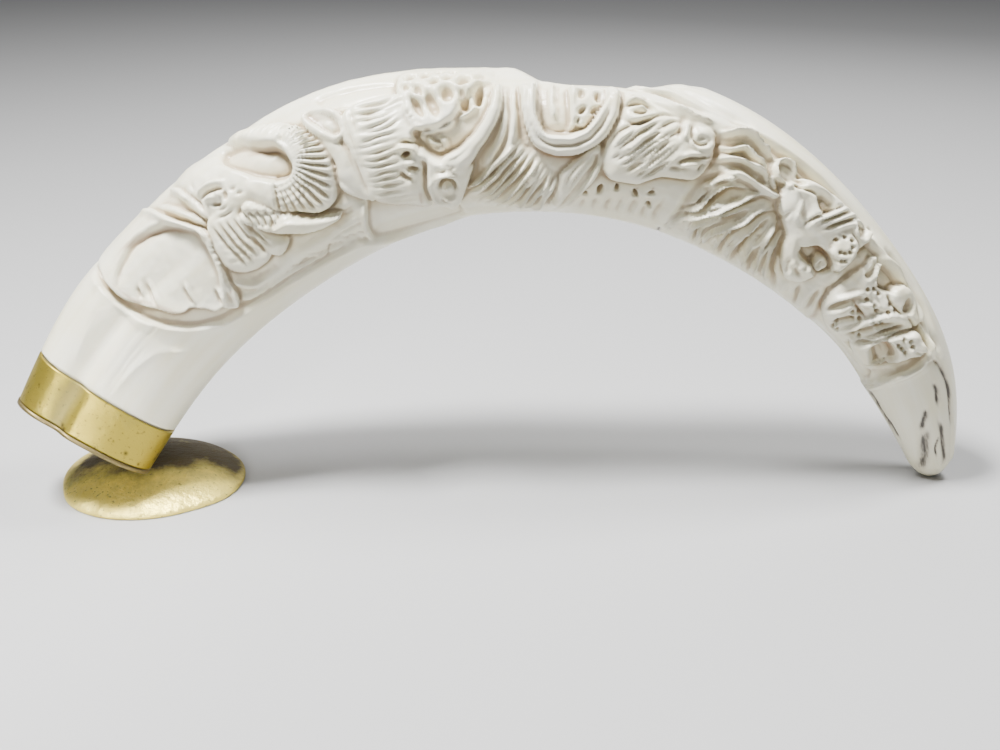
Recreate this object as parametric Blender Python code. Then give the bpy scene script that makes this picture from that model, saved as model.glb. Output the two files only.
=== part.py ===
# A carved warthog tusk, arched between its own tip and a brass foot.
# Drawing sizes are millimetres. +X runs toward the tip, -Y is the carved front, +Z is up.
import bpy
import numpy as np

# The tusk's own sizes: root to tip along the ground, how high its middle line arches above
# the straight line from root to tip, how far the root leans forward, and its greatest width.
TUSK_SPAN = 211.5
ARCH_HEIGHT = 78.0
ROOT_LEAN = 12.5
TUSK_WIDTH = 39.4
# Its form at ten stations from the root to the tip, as shares of those sizes.
STATION_ALONG = (0.0, 0.0704, 0.1754, 0.3201, 0.4690, 0.6217, 0.7527, 0.8686, 0.9546, 1.0)
STATION_UP = (0.0, 0.3126, 0.6081, 0.8776, 0.9837, 0.9985, 0.8804, 0.6437, 0.3377, -0.0026)
STATION_FORWARD = (1.0, 0.296, -0.024, -0.08, -0.04, -0.016, 0.0, 0.0, 0.0, 0.0)
STATION_WIDTH = (0.8731, 0.9695, 1.0, 0.9848, 0.8528, 0.8832, 0.8376, 0.6954, 0.5482, 0.2335)
# Depth as a share of the width there: the root is flatter than the tip.
DEPTH_SHARE = (0.76, 0.76, 0.76, 0.78, 0.84, 0.84, 0.84, 0.86, 0.86, 0.86)
SQUARENESS = 2.3
TIP_ROUNDING = 6.0
# The natural hollow along the front of the root.
GROOVE_DEPTH = 2.0
GROOVE_GIRTH = 6.5
GROOVE_WIDTH = 3.6
GROOVE_TO = 60.0
GROOVE_FADE = 30.0

# The brass band round the root, and the plate that closes it.
BAND_FROM = 1.3
BAND_TO = 12.5
BAND_SLANT = 1.1
BAND_THICKNESS = 0.8
BAND_PROUD = 0.1
FIT_GAP = 0.3
PLATE_THICKNESS = 0.9
PLATE_PROUD = 0.3

# The hammered foot: a low dome of sheet brass with an uneven edge. Its middle lies a little
# away from the plate's lowest corner, which it carries.
FOOT_FORTH = 0.75
FOOT_BACK = 3.0
FOOT_RADII = (22.5, 22.5, 22.0, 22.4, 23.4, 24.6, 25.2, 23.9, 22.3, 21.9, 20.8, 19.9, 19.5, 19.9, 21.7)
FOOT_HEIGHT = 5.95
FOOT_SHEET = 0.9
FOOT_FLAT = 1.6

# The tusk's length and width as the carving's places were drawn on it.
DRAWN_LENGTH = 283.0
DRAWN_WIDTH = 39.4

ROWS_ROOT = 8
ROWS_CARVED = 102
ROWS_TIP = 12
CARVED_FROM = 34.0
CARVED_TO = 250.0
ROOT_STEP = 4.0
COLUMNS_FRONT = 25
COLUMNS_BACK = 9
FRONT_SHARE = 0.40
EDGE = 1.7


def natural_spline(values, at):
    """A smooth curve through values at 0, 1, 2 and so on, read at the places given."""
    values = np.asarray(values, float)
    count = len(values)
    matrix = np.zeros((count, count))
    right = np.zeros(count)
    matrix[0, 0] = 1.0
    matrix[-1, -1] = 1.0
    for i in range(1, count - 1):
        matrix[i, i - 1:i + 2] = (1.0, 4.0, 1.0)
        right[i] = 6.0 * (values[i + 1] - 2.0 * values[i] + values[i - 1])
    bend = np.linalg.solve(matrix, right)
    i = np.clip(np.floor(at).astype(int), 0, count - 2)
    f = at - i
    low = ((1.0 - f) ** 3 - (1.0 - f)) * bend[i] / 6.0
    high = (f ** 3 - f) * bend[i + 1] / 6.0
    return (1.0 - f) * values[i] + f * values[i + 1] + low + high


def middle_line(root_height, steps=1201):
    """Length along the tusk, points of its middle line, directions, half width and half depth."""
    at = np.linspace(0.0, len(STATION_ALONG) - 1.0, steps)
    along = np.array(STATION_ALONG)
    x = TUSK_SPAN * (along - 0.5)
    y = -ROOT_LEAN * np.array(STATION_FORWARD)
    z = root_height * (1.0 - along) + ARCH_HEIGHT * np.array(STATION_UP)
    points = np.stack([natural_spline(v, at) for v in (x, y, z)], axis=1)
    width = natural_spline(np.array(STATION_WIDTH) * TUSK_WIDTH / 2.0, at)
    depth = width * natural_spline(DEPTH_SHARE, at)
    pieces = np.linalg.norm(np.diff(points, axis=0), axis=1)
    length = np.concatenate([[0.0], np.cumsum(pieces)])
    heading = np.gradient(points, length, axis=0)
    heading /= np.linalg.norm(heading, axis=1, keepdims=True)
    return length, points, heading, width, depth


def station(line, s):
    """Middle point, heading, outward and front directions, half width and half depth at length s."""
    length, points, headings, widths, depths = line
    inside = min(max(s, 0.0), length[-1])
    point = np.array([np.interp(inside, length, points[:, i]) for i in range(3)])
    heading = np.array([np.interp(inside, length, headings[:, i]) for i in range(3)])
    heading /= np.linalg.norm(heading)
    point = point + (s - inside) * heading
    outward = np.array([-heading[2], 0.0, heading[0]])
    outward /= np.linalg.norm(outward)
    front = np.cross(heading, outward)
    width = np.interp(inside, length, widths)
    depth = np.interp(inside, length, depths)
    return point, heading, outward, front, width, depth


def groove(s, g):
    """The tusk's natural long hollow on its front near the root."""
    fade = np.clip((GROOVE_TO - s) / GROOVE_FADE, 0.0, 1.0)
    return -GROOVE_DEPTH * fade * np.exp(-((g - GROOVE_GIRTH) / GROOVE_WIDTH) ** 2)


def section_points(line, s, shares, proud, height=None, slant=0.0):
    """Points round the tusk at length s. Shares of half the girth run from -1 to 1, 0 is the front's middle."""
    point, heading, outward, front, width, depth = station(line, s)
    turn = np.linspace(-np.pi / 2, 1.5 * np.pi, 721)
    c = np.cos(turn)
    d = np.sin(turn)
    reach = (np.abs(c / width) ** SQUARENESS + np.abs(d / depth) ** SQUARENESS) ** (-1.0 / SQUARENESS)
    out_all = reach * c
    front_all = reach * d
    steps = np.hypot(np.diff(out_all), np.diff(front_all))
    girth = np.concatenate([[0.0], np.cumsum(steps)])
    girth -= girth[360]
    g = shares * girth[-1]
    o = np.interp(-g, girth, out_all)
    f = np.interp(-g, girth, front_all)
    lean_o = np.sign(o) * np.abs(o / width) ** (SQUARENESS - 1.0) / width
    lean_f = np.sign(f) * np.abs(f / depth) ** (SQUARENESS - 1.0) / depth
    size = np.hypot(lean_o, lean_f)
    raised = proud + groove(s, g)
    if height is not None:
        raised = raised + height(line, s, g)
    o = o + raised * lean_o / size
    f = f + raised * lean_f / size
    along = slant * o / width
    return point + o[:, None] * outward + f[:, None] * front + along[:, None] * heading


# Carving. Places are (s, g): millimetres along the middle line from the root, and
# millimetres of girth from the front's middle, positive toward the outer curve.

def smooth_path(points, closed, steps=5):
    """A Catmull-Rom path through the points."""
    points = np.asarray(points, float)
    if closed:
        padded = np.vstack([points[-1:], points, points[:2]])
    else:
        padded = np.vstack([2 * points[:1] - points[1:2], points, 2 * points[-1:] - points[-2:-1]])
    path = []
    for i in range(1, len(padded) - 2):
        a, b, c, d = padded[i - 1:i + 3]
        for f in np.arange(steps) / steps:
            path.append(0.5 * (2 * b + (c - a) * f + (2 * a - 5 * b + 4 * c - d) * f ** 2
                               + (3 * b - 3 * c + d - a) * f ** 3))
    path.append(padded[-2] if not closed else path[0])
    return np.array(path)


def distance_to(path, s, g):
    """Distance to the path and the share of its length at the nearest place."""
    best = np.full(s.shape, 1e9)
    share = np.zeros(s.shape)
    lengths = np.linalg.norm(np.diff(path, axis=0), axis=1)
    before = np.concatenate([[0.0], np.cumsum(lengths)])
    for i, run in enumerate(lengths):
        if run < 1e-9:
            continue
        ds, dg = (path[i + 1] - path[i]) / run
        t = np.clip((s - path[i, 0]) * ds + (g - path[i, 1]) * dg, 0.0, run)
        away = np.hypot(s - path[i, 0] - t * ds, g - path[i, 1] - t * dg)
        nearer = away < best
        best = np.where(nearer, away, best)
        share = np.where(nearer, (before[i] + t) / before[-1], share)
    return best, share


def inside_of(path, s, g):
    crossings = np.zeros(s.shape, int)
    for (s0, g0), (s1, g1) in zip(path[:-1], path[1:]):
        straddles = (g0 > g) != (g1 > g)
        at = s0 + (g - g0) * (s1 - s0) / (g1 - g0 + 1e-12)
        crossings += straddles & (s < at)
    return crossings % 2 == 1


def near(path, s, g, margin):
    low = path.min(axis=0) - margin
    high = path.max(axis=0) + margin
    return (s > low[0]) & (s < high[0]) & (g > low[1]) & (g < high[1])


def shape(h, s, g, points, top, rounding=2.0, drop=0.6, trench=0.0, fade=2.5):
    """A form with a steep edge. top is its level, and drop is how far it falls away to its edge."""
    path = smooth_path(points, True)
    here = near(path, s, g, 3.0 * fade)
    if not here.any():
        return
    away, _ = distance_to(path, s[here], g[here])
    signed = np.where(inside_of(path, s[here], g[here]), away, -away)
    share = np.clip(signed / rounding, 0.0, 1.0)
    level = top - drop * (1.0 - np.sqrt(share * (2.0 - share)))
    around = h[here] - trench * np.exp(np.minimum(signed, 0.0) / fade)
    mix = np.clip(0.5 + signed / EDGE, 0.0, 1.0)
    h[here] = around * (1.0 - mix) + level * mix


def stroke(h, s, g, points, depth, width, taper=0.3):
    """A groove along a path, or a ridge when depth is below nothing."""
    path = smooth_path(points, False)
    here = near(path, s, g, 3.0 * width)
    if not here.any():
        return
    away, share = distance_to(path, s[here], g[here])
    strength = np.clip(np.minimum(share, 1.0 - share) / taper, 0.15, 1.0)
    h[here] -= depth * strength * np.exp(-(away / width) ** 2)


def level_zone(h, s, g, points, level, soft):
    """Brings a zone to one level with a soft border."""
    path = smooth_path(points, True)
    away, _ = distance_to(path, s, g)
    signed = np.where(inside_of(path, s, g), away, -away)
    mix = np.clip(0.5 + signed / (2.0 * soft), 0.0, 1.0)
    mix = mix * mix * (3.0 - 2.0 * mix)
    h[:] = h * (1.0 - mix) + level * mix


# The border of the carved field, then each animal's forms, all drawn as places (s, g).
FIELD = ((35.2, 26), (34.6, 14), (34.6, 8), (36, 2), (40, -4.5), (46, -9.5), (52, -12), (62, -13.2), (78, -14.5),
         (90, -15), (96, -18), (106, -19), (122, -21), (150, -22), (175, -23), (200, -22), (226, -20),
         (250, -17), (248, -8), (248.5, 0), (246.5, 5), (240, 9), (230, 11.6), (218, 11.2), (205, 14.4),
         (186, 15.6), (170, 16), (160, 19), (140, 21), (118, 24), (90, 26), (60, 27))
SADDLE = ((144, 20), (150, 19), (158, 19), (163, 20.5), (165, 26), (163, 36), (150, 38), (141, 36), (139, 26))
INNER_CURVE = ((121, -16), (150, -15), (178, -16), (200, -16), (224, -13), (244, -14), (240, -24),
               (200, -27), (150, -27), (122, -26))
EAR = ((37, 18), (36.4, 12), (37.2, 8), (39.2, 4.4), (41.2, 1), (42.6, -2), (46, -3.2), (48.6, -6), (50.6, -8.6),
       (54, -10.2), (55.6, -9), (57, -6), (58.8, -2), (60.2, 3), (60.6, 7), (59.4, 9.8), (56, 15), (50, 18.8),
       (44, 20.6), (39, 20.4))
EAR_DISH = ((39.5, 14), (44, 18.2), (49, 17.3), (54, 14.4), (57, 11.4), (59, 8), (58.2, 4), (56.5, 0), (54, -5),
            (51.5, -7), (48, -3.5), (45, -1.5), (43, 1.5), (41, 5), (39.2, 9))
CHEEK = ((61, 9), (59.8, 3), (60, -1), (62, -4), (65, -5.8), (68.5, -6), (70, -5.3), (72, -6.4), (74.6, -5.6),
         (75.2, -3.8), (72.5, 0), (70.5, 3.5), (70, 8), (66, 11))
HEAD = ((62, 10), (63, 18), (66, 23), (72, 23), (75, 19), (77, 14), (80, 10), (78, 6), (72, 6), (66, 8))
TRUNK = ((77, 0.8), (80, -0.6), (84, -2.3), (88, -2.3), (91, -0.6), (93, 3), (93.6, 7), (93, 11), (91.5, 15),
         (89, 18.5), (85, 22), (80, 26), (75, 27), (77, 22), (81, 18), (85, 13.5), (85.6, 10.5), (83, 8.2),
         (79, 9), (77, 7), (76.4, 4))
TRUNK_HOLE = ((76, 21), (79, 18.6), (82, 16.6), (84.6, 14), (85.5, 11.5), (84.6, 9.2), (82.6, 8.3), (80.4, 9.6),
              (78.4, 12.2), (76.8, 15.5), (74.4, 19.5))
SOCKET = ((69.9, 5), (71, 7.3), (75, 7.1), (77, 4.6), (78.6, 1.6), (75.6, 0.4), (72.4, 1.6))
TUSK_SMALL = ((75, 0), (78, 1.3), (80.6, 0), (84, -3.2), (88, -4.9), (89.4, -5.8), (86, -6.5), (82, -6.1),
              (78, -4.2), (75.6, -2))
RHINO_HEAD = ((95, 6), (97.5, 0), (99.6, -4.6), (101.6, -6.6), (105, -8.6), (108.6, -10), (113, -10.4),
              (118.5, -11.6), (121, -7.4), (122, -3), (118, 2), (113, 5), (111, 9), (111, 15.5), (104, 16.6),
              (99, 17), (98, 12))
RHINO_EAR = ((91.5, 19.6), (95, 19.8), (97.6, 17), (98.2, 13), (97, 10.4), (95.2, 11.2), (93.4, 14), (92, 17))
RHINO_NECK = ((92.4, 12), (94, 6), (95.6, 1), (98.6, -4.8), (97.4, -5), (94.6, -1), (93.6, 4), (91.6, 9))
BOSS = ((110.6, 14), (111.4, 9.4), (113, 7.4), (116, 7.6), (120, 9.4), (124, 9), (127.6, 13), (128, 18),
        (124, 20.4), (116, 20.6), (111, 19))
BIG_HORN = ((129.6, 18), (129.8, 10), (127.6, 5), (125, 1.4), (122, -2.6), (119, -3), (115.4, 0.4),
            (118.6, 2.4), (122, 4.9), (125.4, 9.4), (127.4, 14))
FOLDS = (((131.6, 25), (131.4, 12), (129.4, 4), (126.5, -2)), ((134.8, 25), (134.2, 10), (132, 2.5)))
BUFFALO_HORN = ((136, 20), (136, 9), (138, 3.4), (142, 0.6), (147, 0.8), (151, 3.4), (153.2, 8), (153.6, 15),
                (151, 16), (149, 9), (145.8, 6.6), (143.4, 5), (141, 5.6), (139.4, 9), (139, 17))
BUFFALO_CROWN = ((146.6, 15.5), (146.6, 10), (149, 8.4), (152.6, 9), (153.8, 13), (153, 16.6))
BUFFALO_EAR = ((151.4, 4), (148, -1), (144.6, -6), (142, -12), (143.6, -13), (148, -9), (152, -4.6), (153.4, -2))
BUFFALO_HEAD = ((152.6, 3), (152.6, -1), (154.6, -4.7), (159, -4.7), (163.6, -3.2), (166, -1.5), (170, 0),
                (173, 0.6), (174.6, 3), (174.7, 8), (173, 12.6), (169, 12.6), (163, 14.6), (157, 17),
                (154.4, 13.4), (153.4, 8))
LION_FACE = ((192, 12.8), (198, 13.8), (206, 14.6), (213, 14.8), (215.8, 12.4), (215.4, 7), (213.8, 1.4),
             (213.6, -2), (211, -6), (209, -7.6), (206, -9.1), (203.4, -8), (201.8, -5), (201.2, 0), (198.6, 4),
             (194, 7))
LION_MOUTH = ((204.8, -0.8), (206, 1), (209, 1.8), (212, 0.9), (213.4, -1.6), (211, -3.4), (209, -5.6),
              (207, -4.6), (205.2, -2.6))
LEOPARD_HEAD = ((218.6, 9), (217.6, 5), (218.4, 0), (219.6, -5), (222, -9), (225.6, -10.6), (228.6, -11.6),
                (231, -9.6), (234, -9.8), (238, -10.1), (241, -8.4), (242.4, -4), (244, 1), (245.8, 5),
                (243, 6.4), (238, 8), (234, 10), (231, 9.4), (228.4, 6.4), (225.4, 6.2), (222.4, 8.4))
LEOPARD_MOUTH = ((236.8, -3.4), (238.4, -1.6), (240.8, -2.2), (240.8, -4.6), (238.6, -5.6))
MANE_FROM = ((186, 7), (182, 1), (179.6, -5), (178.6, -12), (180.4, -20), (183, -25))
MANE_TO = ((199, 3), (199.6, -3), (202, -8.6), (206, -14), (209.6, -20), (212, -25))
MANE_LOCKS = 9
MANE_TOPS = (((175.6, 13), (182, 11.6), (188, 10.2)), ((175.6, 9.4), (182, 8.8), (187, 6.6), (192, 6.4)),
             ((176, 5.4), (182, 5.4), (188, 2.6)))
NECK_HAIR_FROM = ((122, -9), (128, -3.4), (133, -0.4))
NECK_HAIR_TO = ((136, -14), (141.6, -5), (146, -0.6))
NECK_HAIRS = 8


def between(first, last, share):
    return [(a[0] + (b[0] - a[0]) * share, a[1] + (b[1] - a[1]) * share) for a, b in zip(first, last)]


def relief(s, g):
    """Height of the carving above the tusk's own skin at a drawn place (s, g)."""
    h = np.zeros(s.shape)
    level_zone(h, s, g, FIELD, -1.5, 0.8)
    level_zone(h, s, g, INNER_CURVE, -0.9, 5.0)
    level_zone(h, s, g, SADDLE, -3.2, 2.0)
    shape(h, s, g, HEAD, -0.5, 3.0, 0.5, 0.3)
    shape(h, s, g, EAR, 0.1, 2.0, 0.5, 1.0, 2.0)
    shape(h, s, g, EAR_DISH, -1.3, 3.0, -0.5)
    shape(h, s, g, CHEEK, -0.2, 3.0, 0.7, 0.9, 1.8)
    shape(h, s, g, TRUNK_HOLE, -2.9, 3.0, -0.5)
    shape(h, s, g, TRUNK, 0.0, 3.0, 0.8, 0.6, 1.6)
    shape(h, s, g, SOCKET, 0.0, 2.0, 0.6, 0.5, 1.2)
    shape(h, s, g, TUSK_SMALL, 0.1, 2.0, 0.8, 0.8, 1.4)
    for place in ((62, 19), (64.2, 15)):
        stroke(h, s, g, ((place[0] - 7, 26), place, (63.5, 9)), 0.9, 0.9)
    shape(h, s, g, RHINO_HEAD, 0.0, 3.5, 0.8, 1.0, 2.2)
    shape(h, s, g, RHINO_NECK, -0.2, 1.5, 0.5)
    shape(h, s, g, RHINO_EAR, 0.2, 1.5, 0.5, 0.8, 1.5)
    stroke(h, s, g, ((93.4, 17.6), (96.4, 12.6)), 1.4, 1.0)
    shape(h, s, g, BOSS, -0.3, 2.5, 0.6, 0.6, 1.5)
    for place in ((113.4, 13), (116.6, 13), (119.6, 13.4), (123, 12.4)):
        stroke(h, s, g, ((place[0] - 0.5, place[1] + 2.4), (place[0] + 0.5, place[1] - 2.4)), 1.4, 1.0, 0.5)
    shape(h, s, g, BIG_HORN, 0.3, 2.0, 0.8, 1.0, 1.6)
    for place in ((109.2, 2.8), (117.3, -6.4)):
        stroke(h, s, g, ((place[0] - 0.8, place[1]), (place[0] + 0.8, place[1])), 1.0, 0.9, 0.5)
    stroke(h, s, g, ((111.4, 2), (113.4, 0), (112.6, -4), (110.6, -9.4)), 0.8, 0.8)
    for fold in FOLDS:
        stroke(h, s, g, fold, -1.3, 1.2)
    for i in range(NECK_HAIRS):
        stroke(h, s, g, between(NECK_HAIR_FROM, NECK_HAIR_TO, i / (NECK_HAIRS - 1)), -0.8, 0.7)
    shape(h, s, g, BUFFALO_EAR, -0.2, 2.0, 0.7, 0.7, 1.5)
    shape(h, s, g, BUFFALO_HORN, 0.3, 2.0, 0.8, 0.9, 1.6)
    shape(h, s, g, BUFFALO_CROWN, -0.1, 1.5, 0.5)
    shape(h, s, g, BUFFALO_HEAD, 0.2, 4.0, 0.9, 1.2, 2.4)
    stroke(h, s, g, ((155.6, 13.6), (159, 12)), 0.9, 0.8, 0.5)
    stroke(h, s, g, ((168, 5), (174.2, 6)), 0.7, 0.6)
    for i in range(MANE_LOCKS):
        stroke(h, s, g, between(MANE_FROM, MANE_TO, i / (MANE_LOCKS - 1)), -1.3, 1.1, 0.25)
    for lock in MANE_TOPS:
        stroke(h, s, g, lock, -1.2, 1.1)
    shape(h, s, g, LION_FACE, 0.1, 3.5, 0.7, 0.9, 2.0)
    shape(h, s, g, LION_MOUTH, -2.0, 1.0, -0.4)
    stroke(h, s, g, ((193, 10.4), (199, 10.6), (203, 10.4)), 0.8, 0.7)
    shape(h, s, g, ((188, 11.4), (190.4, 14), (193, 11.6), (190.6, 8.8)), 0.1, 1.4, 0.4, 0.6, 1.2)
    stroke(h, s, g, ((190, 11.8), (191, 11)), 1.3, 1.1, 0.5)
    shape(h, s, g, LEOPARD_HEAD, 0.0, 3.0, 0.8, 1.2, 2.4)
    shape(h, s, g, LEOPARD_MOUTH, -1.6, 1.0, -0.3)
    stroke(h, s, g, ((221.6, -1.3), (227, -1.7)), 0.7, 0.6)
    return h


def carving(line, s, g):
    """Height of the carving on this tusk, where it keeps its place and depth as shares of the tusk."""
    drawn_s = np.full_like(g, s * DRAWN_LENGTH / line[0][-1])
    across = TUSK_WIDTH / DRAWN_WIDTH
    return relief(drawn_s, g / across) * across


# How the pieces sit on one another.

def ring_shares(count):
    return np.linspace(-1.0, 1.0, count, endpoint=False)


def foot_radius(turn):
    """The foot's uneven plan: its radius at a turn in radians, through evenly spaced readings."""
    count = len(FOOT_RADII)
    at = (turn / (2 * np.pi) * count) % count
    i = np.floor(at).astype(int)
    f = at - i
    radii = np.array(FOOT_RADII)
    a, b, c, d = (radii[(i + k) % count] for k in (-1, 0, 1, 2))
    return 0.5 * (2 * b + (c - a) * f + (2 * a - 5 * b + 4 * c - d) * f ** 2 + (3 * b - 3 * c + d - a) * f ** 3)


def dome(share):
    """Height of the foot's upper face at a share of its radius."""
    return FOOT_SHEET + (FOOT_HEIGHT - FOOT_SHEET) * (1.0 - share ** 2) ** 0.9


def plate_ring(line, s, shares):
    return section_points(line, s, shares, PLATE_PROUD, None, BAND_SLANT)


def stood_on_foot():
    """The middle line whose end plate just clears the foot's top, and the plate's lowest corner."""
    away = np.hypot(FOOT_FORTH, FOOT_BACK)
    carried = dome(away / foot_radius(np.arctan2(-FOOT_BACK, -FOOT_FORTH)))
    root_height = FOOT_HEIGHT + TUSK_WIDTH / 4.0
    for _ in range(12):
        line = middle_line(root_height)
        ring = plate_ring(line, BAND_FROM - FIT_GAP - PLATE_THICKNESS, ring_shares(360))
        corner = ring[ring[:, 2].argmin()]
        root_height += carried + FIT_GAP - corner[2]
    return line, corner


# Meshes

def put(name, points, faces, colour, rough, metal, home):
    mesh = bpy.data.meshes.new(name)
    mesh.from_pydata((np.asarray(points) * 0.001).tolist(), [], faces)
    mesh.validate()
    for face in mesh.polygons:
        face.use_smooth = True
    thing = bpy.data.objects.new(name, mesh)
    home.objects.link(thing)
    material = bpy.data.materials.new(name)
    material.use_nodes = True
    surface = material.node_tree.nodes["Principled BSDF"]
    surface.inputs["Base Color"].default_value = (*colour, 1.0)
    surface.inputs["Roughness"].default_value = rough
    surface.inputs["Metallic"].default_value = metal
    mesh.materials.append(material)
    return thing


def ring_faces(start_a, start_b, count):
    return [(start_a + i, start_b + i, start_b + (i + 1) % count, start_a + (i + 1) % count)
            for i in range(count)]


def column_shares(front, back, front_share):
    """Places round the girth as shares of half of it, close together over the front."""
    close = np.linspace(-front_share, front_share, front)
    wide = np.linspace(front_share, 2.0 - front_share, back + 2)[1:-1]
    shares = np.concatenate([close, wide])
    return np.sort(np.where(shares > 1.0, shares - 2.0, shares))


def make_tusk(line):
    shares = column_shares(COLUMNS_FRONT, COLUMNS_BACK, FRONT_SHARE)
    tusk_length = line[0][-1]
    along = tusk_length / DRAWN_LENGTH
    carved_from = CARVED_FROM * along
    carved_to = CARVED_TO * along
    tip_from = tusk_length - TIP_ROUNDING
    start = BAND_FROM + FIT_GAP
    rows = np.concatenate([
        np.array([start, BAND_TO + FIT_GAP, BAND_TO + 2.5 * FIT_GAP]),
        np.linspace(BAND_TO + ROOT_STEP, carved_from, ROWS_ROOT)[:-1],
        np.linspace(carved_from, carved_to, ROWS_CARVED),
        np.linspace(carved_to, tip_from, ROWS_TIP - 5)[1:],
        tip_from + TIP_ROUNDING * np.sin(np.radians([25.0, 47.0, 65.0, 80.0]))])
    points = []
    for s in rows:
        in_band = s < BAND_TO + 2.0 * FIT_GAP
        slant = BAND_SLANT * np.clip((carved_from - s) / (carved_from - BAND_TO - 1.0), 0.0, 1.0)
        proud = -(BAND_THICKNESS - BAND_PROUD + FIT_GAP) if in_band else 0.0
        ring = section_points(line, s, shares, proud, carving, slant)
        past = (s - tip_from) / TIP_ROUNDING
        if past > 0.0:
            middle = station(line, s)[0]
            ring = middle + (ring - middle) * np.sqrt(1.0 - past ** 2)
        points.append(ring)
    count = len(shares)
    points = np.vstack(points)
    last = (len(rows) - 1) * count
    points = np.vstack([points, station(line, start)[0], station(line, tusk_length)[0]])
    points[:, 2] = np.maximum(points[:, 2], 0.0)
    faces = []
    for r in range(len(rows) - 1):
        faces += ring_faces(r * count, (r + 1) * count, count)
    root = len(points) - 2
    tip = len(points) - 1
    faces += [(root, i, (i + 1) % count) for i in range(count)]
    faces += [(tip, last + (i + 1) % count, last + i) for i in range(count)]
    return points, faces


def make_band(line):
    shares = column_shares(28, 16, 0.5)
    count = len(shares)
    inner = BAND_PROUD - BAND_THICKNESS
    levels = np.linspace(BAND_FROM, BAND_TO, 3)
    rings = [section_points(line, s, shares, BAND_PROUD, None, BAND_SLANT) for s in levels]
    rings += [section_points(line, s, shares, inner, None, BAND_SLANT) for s in levels[::-1]]
    faces = []
    for r in range(len(rings)):
        faces += ring_faces(r * count, ((r + 1) % len(rings)) * count, count)
    return np.vstack(rings), faces


def make_plate(line):
    shares = column_shares(28, 16, 0.5)
    count = len(shares)
    top = BAND_FROM - FIT_GAP
    bottom = top - PLATE_THICKNESS
    rings = [plate_ring(line, s, shares) for s in (bottom, top)]
    points = np.vstack(rings + [station(line, bottom)[0], station(line, top)[0]])
    faces = ring_faces(0, count, count)
    faces += [(2 * count, i, (i + 1) % count) for i in range(count)]
    faces += [(2 * count + 1, count + (i + 1) % count, count + i) for i in range(count)]
    return points, faces


def make_foot(corner):
    middle_x = corner[0] + FOOT_FORTH
    middle_y = corner[1] + FOOT_BACK
    count = 36
    turn = np.arange(count) * 2 * np.pi / count
    edge = foot_radius(turn)
    rings = []

    def ring(reach, z):
        x = middle_x + reach * np.cos(turn)
        y = middle_y + reach * np.sin(turn)
        rings.append(np.stack([x, y, np.full(count, z)], axis=1))

    for share in (0.25, 0.5, 0.72, 0.9):
        ring(edge * share, dome(share))
    ring(edge, 0.55)
    ring(edge - 0.1, 0.0)
    ring(edge - FOOT_FLAT, 0.0)
    for share in (0.72, 0.5, 0.25):
        ring((edge - FOOT_FLAT) * share, dome(share) - FOOT_SHEET)
    points = np.vstack(rings + [(middle_x, middle_y, z) for z in (FOOT_HEIGHT, FOOT_HEIGHT - FOOT_SHEET)])
    faces = []
    for r in range(len(rings) - 1):
        faces += ring_faces(r * count, (r + 1) * count, count)
    top = len(points) - 2
    under = len(points) - 1
    last = (len(rings) - 1) * count
    faces += [(top, i, (i + 1) % count) for i in range(count)]
    faces += [(under, last + (i + 1) % count, last + i) for i in range(count)]
    return points, faces


def main():
    for thing in list(bpy.data.objects):
        bpy.data.objects.remove(thing)
    home = bpy.data.collections.new("carved_warthog_tusk")
    bpy.context.scene.collection.children.link(home)
    line, corner = stood_on_foot()
    looks = {
        "tusk": (make_tusk(line), (0.80, 0.76, 0.66), 0.35, 0.0),
        "collar": (make_band(line), (0.55, 0.44, 0.18), 0.35, 1.0),
        "end_plate": (make_plate(line), (0.55, 0.44, 0.18), 0.4, 1.0),
        "foot": (make_foot(corner), (0.60, 0.47, 0.18), 0.4, 1.0)}
    everything = np.vstack([points for (points, faces), colour, rough, metal in looks.values()])
    middle = (everything.min(axis=0) + everything.max(axis=0)) / 2.0
    middle[2] = 0.0
    for name, ((points, faces), colour, rough, metal) in looks.items():
        put(name, points - middle, faces, colour, rough, metal, home)


main()
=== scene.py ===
import bpy
import numpy as np
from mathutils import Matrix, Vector


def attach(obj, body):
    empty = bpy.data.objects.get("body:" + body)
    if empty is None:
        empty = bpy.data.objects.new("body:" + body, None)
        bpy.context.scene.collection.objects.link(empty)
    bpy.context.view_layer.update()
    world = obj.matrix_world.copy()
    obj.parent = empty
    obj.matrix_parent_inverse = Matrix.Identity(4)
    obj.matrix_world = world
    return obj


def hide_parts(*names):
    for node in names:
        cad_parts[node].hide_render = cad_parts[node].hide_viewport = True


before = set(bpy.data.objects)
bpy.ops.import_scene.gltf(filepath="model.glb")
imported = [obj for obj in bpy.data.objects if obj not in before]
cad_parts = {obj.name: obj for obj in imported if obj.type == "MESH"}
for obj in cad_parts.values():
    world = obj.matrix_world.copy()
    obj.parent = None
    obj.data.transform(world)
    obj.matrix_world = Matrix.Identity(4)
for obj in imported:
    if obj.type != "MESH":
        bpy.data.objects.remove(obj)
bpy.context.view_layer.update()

# The tusk and its brass, as in the solids they stand for. Only the groove differs: the solid's is as wide
# on both sides, and this one is narrower on its inner side.
STATION_X = (-100.7, -85.8, -63.6, -33.0, -1.5, 30.8, 58.5, 83.0, 101.2, 110.8)
STATION_Y = (-8.5, 0.3, 4.3, 5.0, 4.5, 4.2, 4.0, 4.0, 4.0, 4.0)
STATION_Z = (16.7, 39.9, 61.2, 79.8, 85.6, 84.2, 72.8, 52.4, 27.1, -0.2)
HALF_WIDTH = (17.2, 19.1, 19.7, 19.4, 16.8, 17.4, 16.5, 13.7, 10.8, 4.6)
DEPTH_SHARE = (0.76, 0.76, 0.76, 0.78, 0.84, 0.84, 0.84, 0.86, 0.86, 0.86)
SQUARENESS = 2.3
TIP_ROUNDING = 6.0
GROOVE_DEPTH = 2.0
GROOVE_GIRTH = 6.5
GROOVE_WIDTHS = (2.5, 4.3)
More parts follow.
